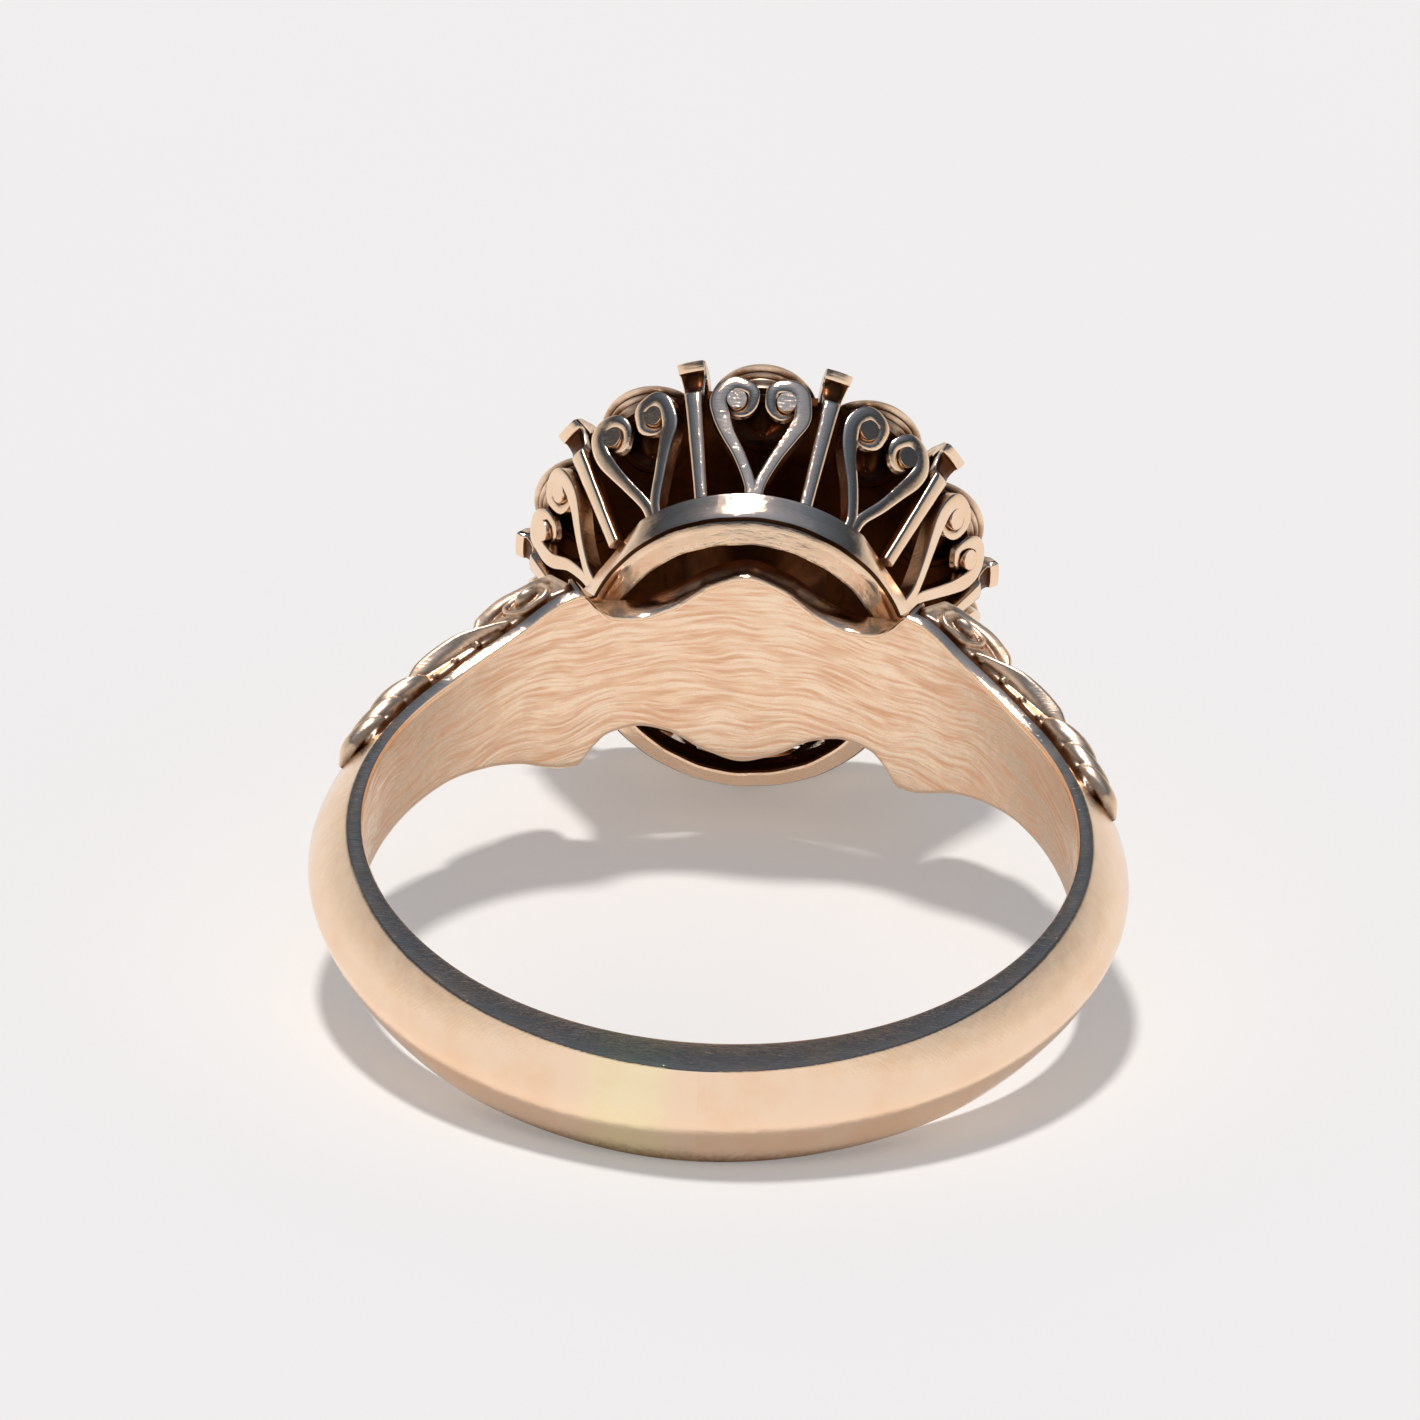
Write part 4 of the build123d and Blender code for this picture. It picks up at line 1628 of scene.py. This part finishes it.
@dataclass
class BeadClaw:
    """A round claw at the centre stone: a pin with a domed head that leans over the stone."""

    number: int
    circle: float
    base: float
    rim: float
    pin: float = 0.16
    head: float = 0.39
    lean: float = 0.22
    tall: float = 0.28

    def build(self, bench: Workbench) -> bpy.types.Object:
        """Makes the bead claw.

        Args:
            bench: The workbench.

        Returns:
            The piece.
        """
        angle = math.radians((self.number - 0.5) * MOTIF_ANGLE)
        chance = np.random.default_rng(SEED * 7 + self.number)
        size = self.head * (1 + 0.02 * float(chance.normal()))
        stand = (self.circle * math.sin(angle), self.circle * math.cos(angle))
        reach = self.circle - self.lean
        over = (reach * math.sin(angle), reach * math.cos(angle))
        pin_outline = [
            (0.0, self.base), (self.pin, self.base), (self.pin, self.rim + 0.03),
            (self.pin * 0.9, self.rim + 0.08), (0.0, self.rim + 0.1),
        ]
        dome = [(0.0, self.rim + 0.03), (size * 0.94, self.rim + 0.03), (size, self.rim + 0.06)]
        for turn in np.linspace(8, 82, 7):
            share = math.radians(turn)
            height = self.rim + 0.07 + (self.tall - 0.045) * math.sin(share)
            dome.append((size * math.cos(share) ** 0.8, height))
        dome.append((0.0, self.rim + 0.03 + self.tall - 0.003))
        shells = [domed_button(pin_outline, 20, stand), domed_button(dome, 28, over)]
        mesh = bench.blank("bead", shells)
        number = f"{self.number:02d}"
        return bench.piece(f"bead_{number}", mesh, [POLISHED_ROSE], Slot.ROSE, [f"bead_claw_{number}"], 40)


@dataclass
class Cluster:
    """The centre stone within its circle of smaller stones."""

    circle: float = 4.52
    plate_top: float = 13.0961
    small_top: float = 13.6461
    centre_top: float = 14.1761
    small_rim: float = 1.36
    centre_rim: float = 3.07

    def build(self, bench: Workbench) -> None:
        """Makes every setting and bead claw.

        Args:
            bench: The workbench.
        """
        for i in range(MOTIFS):
            angle = math.radians(360 * i / MOTIFS)
            number = f"{i + 1:02d}"
            Setting(
                name=f"small_collet_{number}",
                stone_name=f"small_stone_{number}",
                centre=(self.circle * math.sin(angle), self.circle * math.cos(angle)),
                turn=360 * i / MOTIFS,
                foot=self.small_rim - 0.38,
                rim=self.small_rim,
                top=self.small_top,
                stone=self.small_rim - 0.19,
                base=self.plate_top,
            ).build(bench)
            BeadClaw(i + 1, self.centre_rim + 0.27, self.plate_top, self.centre_top).build(bench)
        Setting(
            name="centre_collet",
            stone_name="centre_stone",
            centre=(0.0, 0.0),
            turn=11.25,
            foot=self.centre_rim - 0.47,
            rim=self.centre_rim,
            top=self.centre_top,
            stone=self.centre_rim - 0.25,
            base=self.plate_top,
            ledge=0.30,
        ).build(bench)


# ---- room ----------------------------------------------------------------------------------
@dataclass(frozen=True)
class FloorFinish:
    """Plain pale ground with a breath of unevenness."""

    name: str = "pale floor"
    light: Colour = (0.78, 0.76, 0.735)
    shade: Colour = (0.745, 0.725, 0.705)
    glow: Colour = (1.0, 0.955, 0.90)
    glow_power: float = 0.24

    def material(self) -> bpy.types.Material:
        """Builds the material.

        Returns:
            The material.
        """
        bench = NodeBench(self.name)
        place = bench.add("TexCoord").outputs["Object"]
        cloud = bench.noise(place, 25.0, 3.0)
        colour = bench.mix(cloud, solid(self.light), solid(self.shade))
        inputs = {
            "Base Color": colour,
            "Roughness": 0.8,
            "Emission Color": solid(self.glow),
            "Emission Strength": self.glow_power,
        }
        shader = bench.add("BsdfPrincipled", None, inputs)
        return bench.close(shader)


@dataclass
class Studio:
    """Floor, sky, key light and camera."""

    floor_size: float = 1.2
    key_power: float = 2.0
    key_spread: float = 7.0
    key_from: tuple[float, float, float] = (-0.12, 0.36, 0.93)
    sky: tuple[tuple[float, Colour], ...] = (
        (0.0, (0.84, 0.83, 0.81)), (0.20, (0.70, 0.69, 0.68)), (0.36, (0.48, 0.48, 0.48)),
        (0.52, (0.035, 0.045, 0.065)), (0.78, (0.09, 0.13, 0.20)), (1.0, (0.26, 0.34, 0.50)),
    )
    distance: float = 300.0
    lens: float = 313.4
    aim: tuple[float, float] = (-0.21, 3.97)
    yaw: float = 2.79
    climb: float = 35.11
    roll: float = 2.30

    def floor(self) -> bpy.types.Object:
        """Lays the floor.

        Returns:
            The floor.
        """
        mesh = bpy.data.meshes.new("floor")
        half = self.floor_size
        corners = [(-half, -half, 0), (half, -half, 0), (half, half, 0), (-half, half, 0)]
        mesh.from_pydata(corners, [], [(0, 1, 2, 3)])
        mesh.materials.append(FloorFinish().material())
        floor = bpy.data.objects.new("floor", mesh)
        bpy.context.scene.collection.objects.link(floor)
        return floor

    def light(self, space: RingSpace) -> None:
        """Sets the sky and the key light.

        Args:
            space: The ring's axes.
        """
        world = bpy.data.worlds.new("soft studio")
        bpy.context.scene.world = world
        world.use_nodes = True
        tree = world.node_tree
        tree.nodes.clear()
        place = tree.nodes.new("ShaderNodeTexCoord")
        parts = tree.nodes.new("ShaderNodeSeparateXYZ")
        ramp = tree.nodes.new("ShaderNodeValToRGB")
        ramp.color_ramp.interpolation = "EASE"
        stops = ramp.color_ramp.elements
        while len(stops) < len(self.sky):
            stops.new(0.5)
        for stop, (level, colour) in zip(stops, self.sky):
            stop.position = level
            stop.color = solid(colour)
        ground = tree.nodes.new("ShaderNodeBackground")
        output = tree.nodes.new("ShaderNodeOutputWorld")
        tree.links.new(place.outputs["Generated"], parts.inputs[0])
        tree.links.new(parts.outputs[2], ramp.inputs[0])
        tree.links.new(ramp.outputs[0], ground.inputs[0])
        tree.links.new(ground.outputs[0], output.inputs[0])
        lamp = bpy.data.lights.new("key", "SUN")
        lamp.energy = self.key_power
        lamp.angle = math.radians(self.key_spread)
        lamp.color = (1.0, 0.975, 0.94)
        key = bpy.data.objects.new("key", lamp)
        key.rotation_euler = space.direction(*self.key_from).to_track_quat("Z", "Y").to_euler()
        bpy.context.scene.collection.objects.link(key)

    def camera(self, space: RingSpace) -> None:
        """Sets up the camera.

        Args:
            space: The ring's axes.
        """
        yaw, climb, roll = (math.radians(a) for a in (self.yaw, self.climb, self.roll))
        back = np.array([math.sin(yaw) * math.cos(climb), -math.cos(yaw) * math.cos(climb), math.sin(climb)])
        right = np.array([math.cos(yaw), math.sin(yaw), 0.0])
        up = np.cross(back, right)
        across = math.cos(roll) * right + math.sin(roll) * up
        above = -math.sin(roll) * right + math.cos(roll) * up
        stand = back * self.distance + across * self.aim[0] + above * self.aim[1]
        axes = np.stack([across, above, back]) @ space.axes()
        spot = space.place(stand)
        data = bpy.data.cameras.new("camera")
        data.lens = self.lens
        data.sensor_width = 36.0
        data.clip_start = 0.01
        data.clip_end = 10.0
        camera = bpy.data.objects.new("camera", data)
        pose = Matrix.Identity(4)
        for column in range(3):
            for row in range(3):
                pose[row][column] = axes[column][row]
        for row in range(3):
            pose[row][3] = spot[row]
        camera.matrix_world = pose
        bpy.context.scene.collection.objects.link(camera)
        bpy.context.scene.camera = camera

    def build(self, space: RingSpace) -> None:
        """Sets out the room.

        Args:
            space: The ring's axes.
        """
        bpy.context.scene.view_settings.view_transform = "Standard"
        self.floor()
        self.light(space)
        self.camera(space)


def dress_plate(bench: Workbench) -> None:
    """Gives the gallery plate its finish: near-black, painted as shade.

    Args:
        bench: The workbench.
    """
    plate = frame["nodes"]["gallery_plate"]
    plate.data.materials.clear()
    plate.data.materials.append(bench.finish(SHADE_ROSE))
    LOG.info("gallery_plate: dressed")


def main() -> None:
    """Builds the ring and its room."""
    logging.basicConfig(level=logging.INFO, format="%(name)s %(message)s")
    space = RingSpace.from_record(frame["record"])
    bench = Workbench(space)
    Studio().build(space)
    hoop = Hoop()
    hoop.build(bench, Part.HOOP)
    hoop.build(bench, Part.INSERT)
    for side in Side:
        CarvedShoulder(hoop, side).build(bench)
    Collar().build(bench)
    for number in range(1, MOTIFS + 1):
        HeartScroll(number).build(bench)
        ClawBar(number).build(bench)
    dress_plate(bench)
    Cluster().build(bench)


if __name__ == "__main__":
    main()
